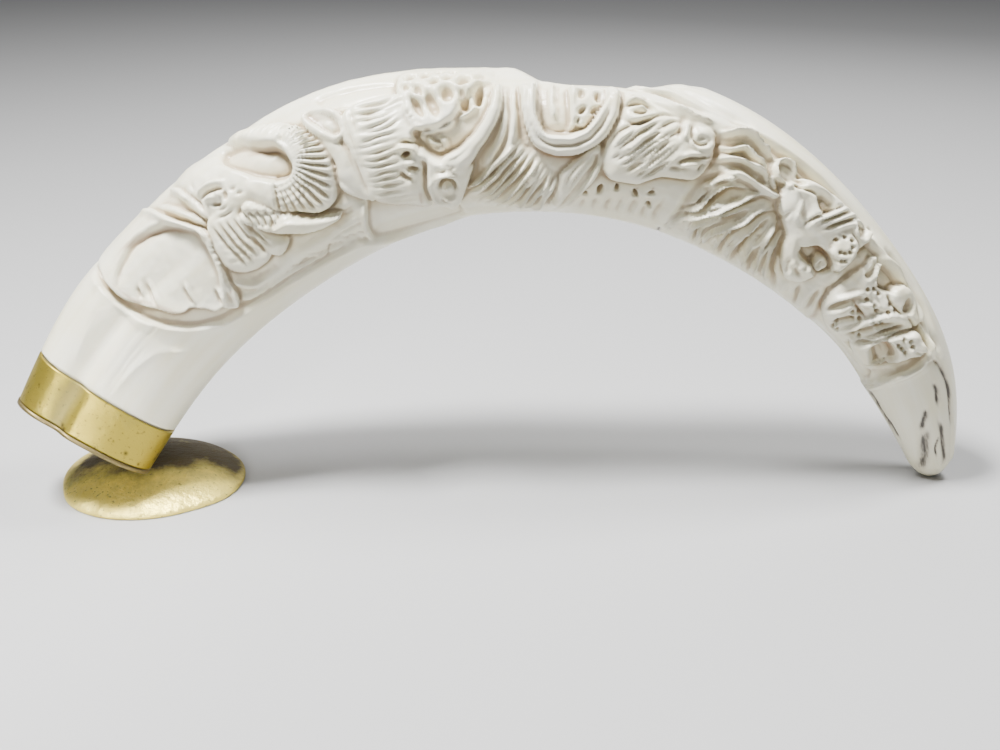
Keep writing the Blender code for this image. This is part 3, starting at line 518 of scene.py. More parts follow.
def rhinoceros(tusk):
    head = ((97.6, 10), (97.8, 4), (98, -1), (98.8, -4.6), (101, -6.6), (105, -8.4), (109, -9.6),
        (113.4, -10.2), (115, -6), (117, -1), (119, 4), (114, 8), (111.6, 12), (111.4, 17), (106, 17.4),
        (101.6, 17), (98.6, 15))
    muzzle = ((112.4, -2), (112.6, -6), (114.4, -9.6), (116.5, -10.8), (118.4, -11.8), (120.4, -9.8),
        (121.8, -7), (123, -4.4), (123.4, -1), (119, 2), (114.6, 2.4))
    ear = ((91.8, 19.4), (94.5, 19.8), (98, 17.4), (99, 13.2), (97.8, 10.6), (96, 10), (93.4, 13),
        (91.6, 16.6))
    neck = ((91.8, 15), (93.4, 10.4), (94.4, 5.4), (94, 1.4), (98.2, -5.2), (99.6, -5), (99.4, 0),
        (98.6, 5), (97.4, 10), (94.4, 14.4))
    flap = ((94.4, 5.4), (94.8, 1.6), (98.2, -4.4), (97, -4.6), (93, 0))
    boss = ((110.2, 24), (110.2, 17), (111.6, 13), (112.6, 9.6), (114, 7), (116.6, 7.2), (120.4, 8.6),
        (122, 11.4), (126, 14), (129, 18), (128.6, 24), (128, 32), (112, 32))
    nook = ((112.6, 7), (114.4, 3.2), (117.4, 1.4), (121.4, 3.2), (125.6, 7.4), (128.6, 13.4), (129, 19),
        (126, 17), (122.6, 12.6), (120.6, 9.2), (116.8, 7.4))
    horn = ((130.8, 24), (130.6, 14), (130, 9), (126.6, 3.4), (123.6, -1), (121, -3.6), (117.6, -3.6),
        (115.6, -0.6), (118.4, 1), (121.8, 2.8), (126, 7), (128.8, 13), (129.3, 19), (129.4, 24))
    facet = ((99.6, 18), (110, 17.4), (110.4, 23.4), (100, 26), (94, 26), (95, 21))
    tusk.moat((head, muzzle, neck, ear), 0.6, 1.8)
    tusk.hollow(facet, 0.6, 1.2)
    tusk.form(neck, -0.55, 2.4, 0.8, 3.0)
    tusk.form(flap, -0.95, 1.6, 0.5, 3.0)
    tusk.form(head, 0.35, 6.5, 1.4, 3.0)
    tusk.form(ear, -0.1, 1.6, 0.6, 3.0)
    tusk.basin(((92.6, 18.6), (95, 18), (97.4, 15.4), (98, 12.6), (96.8, 11.6), (94.6, 14.6)), -0.75, 1.4,
        (0.0, 0.04), 0.2, 0.4)
    tusk.stroke(((95.4, 15.6), (96.6, 13.4), (96.8, 12)), -0.35, 0.5)
    tusk.stroke(((97.4, 10.6), (98.4, 6.6), (98.8, 2), (99, -4.4)), 0.5, 0.5, 0.15, "cusp")
    # Skin wrinkles over the neck and the cheek, with bright ridges between.
    first = ((99.4, 8.6), (104, 8), (109.6, 8.4))
    last = ((99.8, -3.4), (104, -4.4), (108.4, -4.8))
    tusk.strokes(first, last, 9, 0.34, 0.4, 0.45, "soft", 0.32, 3)
    tusk.strokes(moved(first, 0.6, 0.75), moved(last, 0.6, 0.75), 9, -0.12, 0.4, 0.45, "soft", 0.32, 9)
    tusk.strokes(((101.6, 15.8), (106, 14.8), (110.6, 16.4)), ((101, 9.8), (106, 9.4), (111, 11)), 6, 0.4,
        0.45, 0.3, "soft", 0.35, 4)
    tusk.strokes(((101.6, -5), (106, -6), (110, -6.2)), ((104, -7.4), (108, -8.6), (111, -8.6)), 3, 0.2,
        0.5)
    tusk.lines(0.3, 0.5, (((98.8, 15.6), (99.6, 9), (99.8, 3), (100, -3)),
        ((100.8, 16.8), (101, 12), (100.8, 9))))
    tusk.form(boss, 0.05, 3.0, 0.6, 2.6)
    tusk.form(muzzle, 0.85, 4.6, 1.4, 3.4)
    tusk.basin(nook, -1.7, 1.7, (0.03, 0.03), 0.25)
    tusk.lines(-0.75, 0.65, (((110.9, 15), (111.6, 12), (112.9, 8.6), (114.6, 7.1), (117, 7.4), (119.4, 8),
        (121.2, 10.2)), ((113, 7.4), (114.4, 4.6), (116.4, 2.7), (118.2, 2.2))), 0.15)
    tusk.lines(-0.6, 0.4, (((114.6, 6.2), (115.6, 4.4), (117.6, 3.4)), ((117.8, 5.2), (118.5, 2.6)),
        ((121.4, 9.4), (123.6, 10.4), (126, 12.6))), 0.2)
    tusk.stroke(((113.6, 6.2), (114.8, 4), (117, 2.4)), 0.5, 0.5, 0.2)
    for place, radius, depth, long, turn in (((112.4, 22.4), 1.0, 1.3, 1.3, 80),
            ((115.1, 22.6), 1.0, 1.3, 1.3, 90), ((118, 23.6), 0.7, 0.9, 1.2, 90),
            ((120.8, 23.4), 0.7, 0.9, 1.2, 90), ((117, 19.6), 0.95, 1.2, 1.2, 90),
            ((119.6, 20.4), 0.9, 1.1, 1.1, 90), ((123, 19.2), 1.3, 1.4, 1.2, 80),
            ((111.6, 18.6), 0.75, 0.8, 1.5, 110), ((113.9, 17.4), 0.8, 0.9, 1.7, 110),
            ((113.6, 13), 0.8, 1.2, 2.6, 112), ((116.4, 13.4), 1.2, 1.5, 2.2, 106),
            ((119.6, 15.4), 1.35, 1.4, 1.3, 90), ((122.8, 14), 0.9, 1.2, 2.4, 104),
            ((125.9, 15), 0.8, 1.2, 2.6, 84), ((126.4, 20.6), 1.0, 1.0, 1.6, 60)):
        tusk.pit(place, 1.2 * radius, 1.25 * depth, long, turn)
    tusk.form(horn, 1.1, 2.8, 1.5, 4.2)
    tusk.stroke(((116.6, 0.4), (120.8, 2), (125, 5.8), (128, 10.6), (129.6, 18)), -0.35, 0.45, 0.15)
    # The eye, the mouth and the muzzle.
    tusk.pit((109.7, 3), 0.6, 1.3, 1.4, 10)
    tusk.lines(-0.8, 0.55, (((107.6, 4.4), (109.6, 4.7), (111.4, 4), (112, 2.4)),
        ((108.6, 1.4), (110, 1.2), (111.4, 0.8)), ((109.4, -0.6), (110.6, -1.8))))
    tusk.lines(0.75, 0.5, (((108.6, 5.8), (110.6, 5.6), (112.4, 4.4), (112.8, 2)),
        ((109.4, 0.4), (110.6, -0.4), (112.4, -0.9)), ((107.4, 0.2), (108.4, -1.8), (110.4, -3)),
        ((112.6, 1.6), (113.2, -0.6), (112.7, -3))))
    tusk.stroke(((113.6, 1), (113, -2), (112.4, -5), (112.6, -8), (113.6, -10.4)), 0.7, 0.5, 0.2)
    tusk.stroke(((114.6, -2.8), (113.4, -5.6), (114, -8.4), (116.2, -10.2)), -0.45, 0.6, 0.2)
    tusk.stroke(((116, -6.2), (116.2, -4.8), (117.4, -4), (118.8, -4.4), (119.5, -5.6), (119.2, -6.8)), 1.0,
        0.5, 0.25)
    tusk.lines(-0.75, 0.55, (((114.8, -4), (116, -3), (118, -2.8), (120, -3.8)), ((117, -5.4), (118, -5.8)),
        ((116, -8), (118, -8.4), (119.6, -8))))
    tusk.stroke(((115.4, -8), (117.2, -8.9), (119.2, -8.2)), 0.4, 0.5)
    chance = np.random.default_rng(8)
    for _ in range(22):
        tusk.pit((chance.uniform(115, 122.6), chance.uniform(-4.4, 0.6)), 0.4, chance.uniform(-0.16, 0.2))


def buffalo(tusk):
    horn = ((134.2, 24), (134.8, 14), (135.4, 8.5), (136.6, 4.2), (139, 1.4), (143, 0.2), (147.5, 0.8),
        (151, 3.2), (153.2, 6), (154.6, 10.5), (154.8, 15.6), (153.6, 18), (151.8, 17), (152, 14),
        (150.6, 10), (148.6, 6.8), (146.6, 5.6), (143, 4.6), (140, 5), (138.4, 7.4), (137.6, 11.2),
        (137.6, 18), (137.4, 24))
    yoke = ((138.4, 24), (138.6, 14), (139.2, 7.4), (141, 5.6), (143.6, 5.4), (145, 7), (145.2, 11.6),
        (146, 16), (145.4, 22))
    crown = ((145, 17.4), (145.2, 12), (145.8, 8), (148, 6.8), (150, 9.6), (151.6, 13), (151.6, 17),
        (148, 18))
    ear = ((151.6, 3.4), (148.4, 0.8), (145.6, -1.6), (143.2, -5), (142.2, -10), (140.4, -17), (141.6, -20),
        (144, -17.6), (146.6, -12), (149.4, -8), (152, -4), (152.8, -1))
    head = ((152.8, 4), (152.4, -1.2), (154.4, -4.4), (158, -4.9), (162, -4.4), (166, -2), (170, -1),
        (173.4, 0.2), (175, 3), (175.1, 7), (174, 12), (171.4, 13.6), (168, 13), (164, 14.2), (159, 16),
        (155.6, 17.6), (154.6, 11))
    # Folds of the neck, then long hairs slanting down to the inner curve.
    tusk.lines(-0.8, 0.9, (((131.6, 27), (131.4, 14), (131, 6), (128.4, 1), (125.8, -3)),
        ((133.4, 27), (133.2, 14), (133, 7), (132, 2.4), (130, -1))), 0.1)
    tusk.lines(0.4, 0.7, (((132.5, 27), (132.3, 14), (132, 6), (130, 1)),
        ((134.4, 27), (134.2, 14), (134.4, 7), (135.2, 3), (138, 0))), 0.12)
    first = ((120.8, -9), (125, -5), (129.4, -0.6), (134, 3.4))
    last = ((135, -18), (138, -14), (140.8, -9.4), (143, -4.4))
    tusk.strokes(first, last, 9, -1.35, 0.75, 0.25, "wave", 0.3, 11)
    tusk.strokes(moved(first, 0.8, -0.8), moved(last, 0.8, -0.8), 9, 0.5, 0.5, 0.25, "soft", 0.3, 12)
    tusk.strokes(((127, -4), (131, -1)), ((140, -15), (142, -11)), 5, 0.35, 0.3, 0.3, "soft", 0.5, 14)
    tusk.strokes(((123, -12), (127, -9)), ((133, -18), (136, -14)), 5, 0.3, 0.5, 0.3, "soft", 0.3, 13)
    tusk.form(ear, 0.15, 3.0, 1.2, 3.6)
    tusk.basin(((150.8, 1), (147.8, -3.4), (145, -9), (142.4, -17), (145, -13), (148.6, -7), (151.2, -2)),
        -0.75, 1.2, (0.0, 0.03))
    tusk.stroke(((150.6, 0.8), (148, -4), (145, -9.4), (142.6, -15)), -0.5, 0.5, 0.15)
    tusk.lines(0.4, 0.4, (((151.8, 2), (150.8, -1.6), (149.4, -4)), ((148.8, 0.4), (145.8, -3.8),
        (143.8, -9))))
    tusk.moat((head,), 0.5, 1.6)
    tusk.basin(yoke, -2.1, 1.9, (0.02, -0.02), 0.2)
    tusk.form(horn, 0.75, 2.4, 1.2, 4.0)
    tusk.stroke(((136, 22), (136.3, 12), (137.2, 6.4), (139.6, 3.4), (143.2, 2.6), (147.2, 3.4),
        (150.2, 5.6), (152.6, 10), (153.2, 16)), 0.5, 0.45, 0.15)
    tusk.stroke(((137.1, 22), (137.1, 11), (138.1, 6.6), (140.2, 4.6), (143, 4.1), (146.8, 4.9), (149.4, 7),
        (151.4, 11), (152, 16)), -0.4, 0.45, 0.15)
    for i in range(9):
        place = (140.4 + i, 1.5 + 0.022 * (i - 4) ** 2)
        tusk.stroke((place, (place[0] + 0.1, place[1] - 1.1)), 0.16, 0.26)
    tusk.form(crown, -0.5, 2.0, 0.7, 2.4)
    tusk.lines(-0.7, 0.5, (((141.4, 20), (141.2, 13), (142, 8)), ((145.3, 18), (145.2, 12), (145.6, 7.4),
        (144.4, 6))), 0.15)
    for pit in (((147.2, 15), 0.9, 1.0, 1.7, 84), ((150.3, 14.6), 0.75, 1.0, 2.2, 86),
            ((147.4, 10.6), 0.7, 0.8, 1.6, 60), ((149.6, 10.8), 0.5, 0.6, 1.8, 60),
            ((146.6, 8.4), 0.5, 0.5, 1.4, 70), ((148.9, 18.6), 0.6, 0.7, 1.2, 90)):
        tusk.pit(*pit)
    # The smooth facets over the head, up to the skyline.
    tusk.form(((155, 18.6), (160, 22.6), (166, 21), (173, 18), (180, 17), (181, 13.4), (173, 12), (166, 12),
        (159, 14)), -0.1, 3.0, 0.5, 0.5)
    tusk.stroke(((158, 22), (163, 21), (168, 19.4), (174, 17.4), (182, 16.6)), 0.5, 1.6, 0.2)
    tusk.form(head, 0.75, 8.0, 1.9, 3.2)
    first = ((153.4, 3), (156, 6.4), (159.4, 9.6), (162.4, 11.8))
    last = ((161, -3.6), (164, -0.6), (166.8, 3), (168.6, 6))
    tusk.strokes(first, last, 11, 0.36, 0.42, 0.25, "soft", 0.2, 21)
    tusk.strokes(moved(first, 0.5, -0.45), moved(last, 0.5, -0.45), 11, -0.55, 0.4, 0.3, "cusp", 0.25, 22)
    tusk.strokes(((154, 0), (157.4, 3.4)), ((160, -2.4), (164, 0.8)), 6, 0.3, 0.35, 0.3, "soft", 0.3, 24)
    tusk.strokes(((160.4, 10.4), (163.6, 12.2), (166.6, 12.6)), ((164.6, 6.6), (167, 9), (168, 10.8)), 3,
        0.35, 0.45, 0.3, "soft", 0.2, 23)
    tusk.stroke(((155.4, 17.6), (159, 17), (162.6, 16.4), (166.4, 14.6), (170, 13.6), (174, 14)), -0.7, 0.6,
        0.15, "cusp")
    tusk.lines(-0.45, 0.45, (((155.4, 13), (157.6, 14.2), (160, 13.6)),
        ((156, 10.6), (158, 9.9), (161.6, 11.4)), ((158, 12.4), (159.8, 12.2))))
    tusk.lines(0.55, 0.4, (((155.2, 12), (157.4, 13), (160.2, 12.6), (161.8, 12)),
        ((155.6, 9.4), (158.2, 8.7), (161.4, 10.2)), ((157, 11.4), (158.6, 11.2), (160, 11.4)),
        ((156, 15.2), (158.4, 15), (160.4, 14.4))))
    tusk.stroke(((168, 7.4), (168, 10), (168.2, 12.2)), -0.4, 0.55, 0.2)
    tusk.lines(0.35, 0.5, (((167, 7), (166.9, 10), (167.2, 12.6)), ((169.3, 7.4), (169.3, 10),
        (169.6, 12))))
    tusk.stroke(arc((171.5, 9.3), 1.7, 150, 400, 8), 0.5, 0.4)
    tusk.stroke(arc((171.5, 9.3), 2.5, 170, 330, 8), -0.3, 0.4)
    tusk.pit((171.7, 9), 0.8, 0.35, 1.3, 30)
    tusk.stroke(((168.4, 2.4), (170.6, 4.2), (172.6, 5), (175, 6.2)), 0.55, 0.42, 0.2)
    tusk.lines(0.4, 0.42, (((166.6, 1), (168.8, 1.4), (171.4, 2.2)),
        ((173, 2), (173.6, 3.6), (174.4, 4.6))))
    tusk.lines(-0.45, 0.6, (((168, 3.6), (170.6, 5.4), (173.4, 5.9)),
        ((168.6, 1.2), (171, 3), (173.4, 3.4))))
    # Flutes and drilled pits below the head.
    tusk.strokes(((150, -10.5), (149, -14.5), (149.4, -18)), ((169, -5.6), (168.4, -12), (169.6, -17)), 7,
        0.55, 1.0, 0.35, "soft", 0.2, 31)
    for pit in (((149.6, -9.6), 0.5, 1.2, 1.3, 120), ((153, -8), 0.55, 1.8, 2.4, 78),
            ((157, -7), 0.5, 1.5, 1.5, 86), ((161.8, -7.6), 0.55, 1.7, 1.9, 128),
            ((165.5, -6.4), 0.55, 1.5, 1.3, 20), ((165.9, -10), 0.52, 1.4, 1.5, 140)):
        tusk.pit(*pit)


# Locks of the mane: each is a ridge, with its width.
LOCKS = ((((191, 5), (187.5, 3), (184.5, -1), (182, -4.5), (179, -7.2), (174.6, -12)), 0.85),
    (((185.5, 3.5), (181, 1.8), (179, -1.8), (177.6, -5.5), (174.6, -9)), 0.7),
    (((194, 2.8), (190.5, 0.5), (188.5, -3.5), (186.5, -6.5), (184, -11), (184.4, -19)), 0.85),
    (((187.4, -0.6), (184.4, -4), (181, -7.6), (179.4, -11), (180.6, -17), (181.4, -22)), 0.8),
    (((193.5, 0.2), (191.5, -4.2), (190.6, -9), (192, -14.8), (194, -21)), 0.85),
    (((189.6, -1.4), (188, -6), (187.2, -10), (188.4, -16), (190, -21)), 0.6),
    (((194, -5.5), (195, -10.2), (198.4, -17.5), (200.4, -21)), 0.8),
    (((196, 2.8), (196, -0.8), (196.6, -6), (199.6, -12), (203.4, -18)), 0.85),
    (((198.5, 0.5), (198.4, -3), (199.6, -7), (203, -12.6), (207, -17.6)), 0.8),
    (((181, -9), (181.8, -13), (183, -17), (184, -21)), 0.5), (((176.6, -9), (174, -13), (172.6, -18)),
    0.7))
TOP_LOCKS = ((((174.6, 12), (177, 13.2), (179.6, 14.6), (183, 14), (187, 13.2)), 0.6),
    (((175, 9.2), (178, 9.6), (180.4, 11.4), (183, 10.6), (187.4, 9.6)), 0.85),
    (((175.6, 6.4), (179, 7.9), (182.6, 8.6), (186.4, 8.6), (188.6, 7)), 0.7),
    (((178.4, 3), (181, 5.4), (184, 5.6), (187.6, 5.2), (191.4, 5.4), (193.4, 6.6)), 1.0),
    (((176.4, -1), (178.6, 2.6), (182, 4.6)), 0.6))


def lion(tusk):
    face = ((192.6, 6), (194.4, 3.2), (198, 0.4), (201, -1.6), (204, -0.6), (208, 2), (212, 1.4),
        (214, 2.4), (214.4, 6), (215.2, 11), (214.6, 13.4), (208, 14.6), (200, 14.2), (194, 12), (192.2, 9))
    jaw = ((199, 1), (200.6, -3), (202.8, -6.4), (206.4, -8.8), (209.8, -7.4), (211.2, -4.6), (210, -1),
        (204.4, -1.6), (202, 2))
    cheek = ((209.8, 2.4), (208.4, 5), (209, 8), (212, 9), (214, 7), (214.6, 3.6), (213.8, 0.6),
        (212.2, 1.4))
    mouth = ((204.3, -1.4), (205.4, 0.2), (207.2, 1.5), (209.6, 1.7), (211.8, 0.9), (213.2, -0.6),
        (211.6, -3.2), (209, -2.4), (206.8, -2.4))
    tongue = ((208.6, 0.4), (210.4, 0.8), (212, -0.4), (211.4, -3), (209.6, -2.6), (208.6, -1))
    tusk.hollow(((174, 2), (184, 6), (192, 6), (198, 3), (204, -8), (209, -18), (190, -19), (172, -17),
        (172, -8)), 1.1, 3.0)
    for lock, width in LOCKS:
        tusk.stroke(moved(lock, 0.8 + 0.8 * width, 0.1), 0.35, 0.5, 0.25)
        tusk.stroke(lock, -2.7 * min(width + 0.1, 0.95), width, 0.25, "wave")
    for lock, width in LOCKS:
        for along in (-0.75, 1.5):
            tusk.stroke(moved(lock[1:], along, 0.3), 0.6, 0.42, 0.35)
    tusk.strokes(((190, 4), (184.5, -1), (179, -6.6), (175, -13)), ((198.6, 0), (198.4, -5), (201, -12),
        (206, -18)), 12, -0.7, 0.62, 0.3, "soft", 0.4, 41)
    tusk.lines(1.0, 0.45, (((188.6, -1), (186.4, -7), (186, -13)), ((192.2, -4), (192.8, -10),
        (195.2, -17)), ((196, 1), (196.8, -4), (197.6, -8)), ((185.2, -8), (186.2, -14)),
        ((200.6, -9), (203.4, -14), (206, -18)), ((181, 1), (178, -3), (177, -6)),
        ((199.6, -2), (200.6, -5), (202, -8))), 0.3, "cusp")
    for lock, width in TOP_LOCKS:
        tusk.stroke(moved(lock, 0.2, -1.0 - 0.5 * width), 0.4, 0.6, 0.2)
        tusk.stroke(lock, -2.1, width, 0.2, "wave")
    tusk.moat((face, jaw), 0.6, 1.8)
    tusk.form(face, 0.55, 6.0, 1.5, 3.2)
    # The ear, a round cup, with the ridges below it.
    tusk.form(arc((190.6, 11.6), 2.8, 0, 330, 10), -0.6, 1.4, 0.5, 1.2)
    tusk.stroke(arc((190.8, 11.6), 2.6, 40, 290, 9), -0.9, 0.65, 0.2)
    tusk.basin(((189, 12.6), (190.4, 13.4), (192, 13), (194.6, 11.6), (194.4, 10), (192, 9.6), (190.2, 9.8),
        (189, 11)), -1.2, 1.3, (0.0, -0.1), 0.2, 0.3)
    tusk.lines(-0.6, 0.55, (((191.6, 7.4), (193, 9.6), (196, 10.6)),
        ((188.2, 9), (189.6, 7.6), (191, 6.6))), 0.2)
    tusk.stroke(((193.4, 9.4), (195.6, 10), (198.4, 10.6), (200.6, 10.4)), 0.7, 0.42, 0.2)
    # Brow, eye and the folds across the nose.
    tusk.lines(-0.55, 0.6, (((195.4, 11.8), (198.6, 12), (201, 12.2), (203.4, 12)),
        ((200.4, 8.2), (202.4, 8), (204, 9))), 0.2)
    tusk.basin(((199.8, 10.6), (201, 11.4), (202.8, 11.2), (203, 9.8), (201.4, 9.2)), -0.7, 1.0, (0.0, 0.0),
        0.2)
    tusk.pit((201.4, 10.3), 0.5, -0.45)
    tusk.hollow(((194, 9.4), (199, 9.6), (201, 7), (200.6, 3.4), (197, 4.6)), 0.5, 2.0)
    tusk.lines(0.6, 0.42, (((200, 2.8), (201.4, 6), (203.4, 9.6), (206.4, 14)),
        ((202.4, 5.6), (205, 9.4), (208.4, 14)), ((204.2, 5.2), (206.8, 9), (210.6, 14)),
        ((196, 4.4), (195.6, 1.6), (196.4, -1.6))), 0.25)
    tusk.lines(-0.45, 0.5, (((201.2, 4.2), (203.8, 8.8), (207.4, 14)),
        ((203.4, 5), (206, 9.2), (209.6, 14)), ((205.4, 5.2), (208, 9), (211.6, 13)),
        ((198.4, 2.6), (197.2, 5.6), (196.4, 8.4))))
    tusk.form(jaw, 0.3, 3.4, 1.3, 3.6)
    tusk.form(cheek, 1.0, 2.6, 0.9, 3.2)
    for place in ((208.4, 5.6), (209.6, 7.2), (211.4, 7.6), (212.4, 6.6), (212.6, 5.4), (211.0, 4.0),
            (211.9, 4.5), (212.6, 2.8), (211.6, 2.2), (213.3, 3.4)):
        tusk.pit(place, 0.45, 0.75)
    tusk.basin(((210.8, 11.8), (212.4, 10.2), (213.6, 11), (212.8, 12.8)), -0.6, 1.2)
    tusk.lines(-0.5, 0.5, (((214.9, 9), (215, 11.4), (213.8, 13.4)), ((209.8, 12), (211, 9.8), (213, 9.2))))
    tusk.lines(0.4, 0.4, (((210, 9.6), (212.4, 8.6), (214.6, 8.4)), ((214, 14.6), (215.6, 12))))
    tusk.basin(mouth, -2.7, 3.4, (0.0, -0.06), 0.2)
    tusk.form(tongue, -1.3, 1.4, 0.6, 2.4)
    tusk.lines(0.5, 0.4, (((208.6, 0.6), (208.4, -2), (207.6, -4.4)), ((210, 0.2), (210.4, -2.4))), 0.2)
    tusk.lines(0.4, 0.5, (((205, -4), (206.8, -5.4), (209.2, -5.6)), ((203, -3.6), (204, -6), (206, -7.6))))
    tusk.lines(-0.35, 0.7, (((204, -3), (205.4, -4.6), (208.4, -4.2)), ((205, -6.4), (207.4, -7))))
    # Drapery behind the jaw, running down to the inner curve.
    tusk.lines(0.6, 0.7, (((204, -10), (207, -14), (210, -18)), ((211, -8), (214, -13), (217, -18)),
        ((215, -5), (217.4, -10), (219, -14))))
    tusk.lines(-0.6, 1.1, (((207.6, -10.4), (210.6, -15), (213, -18)),
        ((213.4, -7), (216.4, -12.6), (219, -16)), ((216, 8), (215.4, 3), (216.4, -3))))


def leopard(tusk):
    back = ((218.8, 9.4), (219, 6), (218.2, 2), (217.8, -3), (219.4, -8), (223, -10.4), (228, -11.2),
        (232, -10), (234, -6), (236, 0), (238.6, 5.8), (238, 9), (233, 10.6), (231, 10.6), (228.4, 10.4),
        (226, 5.6), (223, 5.4), (221, 8))
    muzzle = ((230.6, -7.4), (232.4, -4.8), (234, -1.4), (236.6, 2.6), (239, 5.8), (242, 6), (245.4, 5.2),
        (244, 0.8), (242.8, -3), (241.8, -6), (239.6, -8.2), (236, -8.9), (232.6, -8.7))
    mouth = ((236.4, -4.4), (236.6, -2.2), (238, -1.2), (240, -1.1), (241.8, -2), (242.4, -4.4),
        (241, -6.2), (238.6, -5.6))
    ledge = ((216.9, -4), (218.4, -7.6), (220.4, -11.4), (223, -16.4), (226.4, -21), (231, -23), (240, -22),
        (248, -18), (246, -11), (238, -11), (229, -12.6), (223, -10.6), (220, -7))
    tusk.level_zone(ledge, -2.0, 1.0)
    tusk.moat((back, muzzle), 0.25, 1.2)
    tusk.form(back, 0.4, 4.6, 1.5, 3.0)
    # Ears along the top, each a ridge round a hollow.
    tusk.basin(((222, 9.6), (224.6, 10.4), (228, 10.2), (228.4, 8), (225.4, 5.8), (223.2, 7)), -2.0, 2.0,
        (0.05, 0.0), 0.2)
    tusk.basin(((219.4, 8.6), (220.6, 7.6), (221, 5), (219.8, 5)), -1.0, 1.5, (0.0, 0.0), 0.2)
    tusk.lines(-0.9, 0.6, (((218.6, 10.2), (222, 11), (226, 11.4), (230.4, 11.2), (234.6, 10.2),
        (238.6, 8.6), (243, 7.4), (248, 7)), ((220.8, 9.6), (222, 7), (224, 4.8))), 0.1)
    tusk.stroke(((219, 12.8), (226, 13), (234, 12), (242, 9.4), (248, 8.6)), 0.5, 0.9, 0.1)
    tusk.form(((228.6, 6), (228.2, 9), (231, 10.8), (234.6, 9.6), (235.4, 7), (232.6, 5.6)), 0.35, 1.6, 0.6,
        2.4)
    tusk.basin(((232, 8.8), (233.4, 8.4), (234.2, 6.8), (232.8, 6.6)), -0.6, 1.2)
    tusk.lines(0.7, 0.36, (((227, 5.6), (229, 4.8), (231.6, 4.9), (233.6, 5.4)),
        ((234.6, 5.9), (239, 6.4), (243, 6.2), (245.6, 6.3))), 0.15)
    # Facets of the cheek, with a knife's ridges between them.
    tusk.lines(-0.8, 0.6, (((219.4, -6), (219.8, -3), (221.4, 0), (223.4, 2.4)),
        ((221.6, -8.6), (222.4, -4.6), (223.2, -1.8), (225.6, 0.6), (229, 2.6)),
        ((227.4, -9.4), (228.6, -5), (229.4, -1), (231.4, 2.6), (234, 4.6))))
    tusk.lines(0.85, 0.6, (((220.6, -7.6), (221, -4), (222.4, -1.4)),
        ((224.6, -9), (225.4, -5.6), (226.6, -3)), ((229.4, -9), (230.2, -6), (231.6, -2), (233.4, 1.4),
        (236, 4.8))))
    tusk.stroke(((222.3, -1), (223.6, -1.5), (225.6, -1.9), (227.9, -1.7)), 0.9, 0.34, 0.2, "cusp")
    tusk.form(muzzle, 1.05, 3.0, 1.4, 3.8)
    tusk.lines(0.85, 0.45, (((231.6, -8.4), (233.4, -5), (235.4, -1.6), (236.6, 1.8), (238.6, 5.4)),
        ((233.6, -1.6), (235, 1.4), (236.4, 4.6))), 0.25)
    tusk.lines(-0.5, 0.5, (((232.4, -6.6), (234.6, -1.8), (236, 1.4), (237.8, 5)),
        ((234, -7.8), (236.4, -0.6), (238, 2.4), (240.6, 5.4))))
    tusk.basin(mouth, -2.1, 3.0, (0.0, -0.05), 0.2, 0.7)
    tusk.stroke(((244.8, 0.8), (243.8, -3), (242.8, -6.8), (240.4, -9.4), (236.2, -10.1), (232, -9.7)), 0.8,
        0.55, 0.2)
    tusk.lines(0.5, 0.4, (((240.4, -5.8), (240.8, -8.4)), ((242, -4.8), (243.2, -3.4)),
        ((243, 2.6), (244.4, 4), (245.6, 5.8))))
    tusk.lines(-0.35, 0.45, (arc((239.2, -3.6), 2.9, 50, 300, 8), ((242, 5), (243.6, 5.4), (245, 5))))
    spots = ((225, -3.1), (226, -2.2), (227.4, -2.9), (226.2, -4), (224, 4), (225.4, 4), (227, 1.5),
        (224.6, 1.2), (225.2, -7.8), (226.6, -8.5), (225.6, -9), (230.2, -6), (230, -4.9), (231.6, -5.5),
        (229.5, 4.4), (231.5, 4.6), (230.6, 3), (230, -1), (231, 0.4), (232.2, 0.4), (231.6, -0.8),
        (239, 0.6), (240.2, 0.8), (240, 3.4), (241.5, 3), (241.5, 1), (238.4, 2.4), (228.4, 1.2),
        (222.8, 2.8))
    for place in spots:
        tusk.pit(place, 0.46, 0.75)
    for place in spots[::4]:
        tusk.pit((place[0] + 0.7, place[1] - 0.7), 0.4, -0.3)
    # The ledge where the carving ends.
    tusk.stroke(((246.8, 5.4), (248, 0), (247.2, -6.6), (247.8, -10.4), (248.6, -15)), -1.0, 0.6, 0.15,
        "cusp")
    tusk.stroke(((245.2, 1), (244.6, -6), (244.6, -10), (246, -14)), 0.45, 1.5, 0.2)


CRACKS = ((((253.4, 4), (256, 4.3), (258, 3.8), (260.4, 3.5)), 0.6),
    (((263.6, 2.5), (268, 3), (272, 2.8), (276, 2.8), (279, 2)), 0.65),
    (((259.4, 0.4), (262, -0.4), (263.6, -1.3), (266, -2)), 0.7), (((265.4, -0.3), (268.6, -1.5), (272, -2),
    (276, -3), (279.4, -5)), 1.15), (((248.6, -14.2), (251.5, -13.6), (256, -12.8), (260, -11.9),
    (263.5, -11.1), (267, -10)), 0.9), (((250.4, -12.6), (253, -12.2), (257, -11.5)), 0.5),
    (((261, -10.6), (265.5, -9.6), (268.6, -8.4)), 0.55), (((171.5, -16), (172.4, -20), (173.5, -24)),
    0.45), (((269, 2.2), (272.6, 0.6), (275.4, 0.8)), 0.3), (((246.8, 5.9), (249.6, 7), (253, 7.5),
    (258, 7.5), (264, 6.4), (269, 6.2)), 0.4))
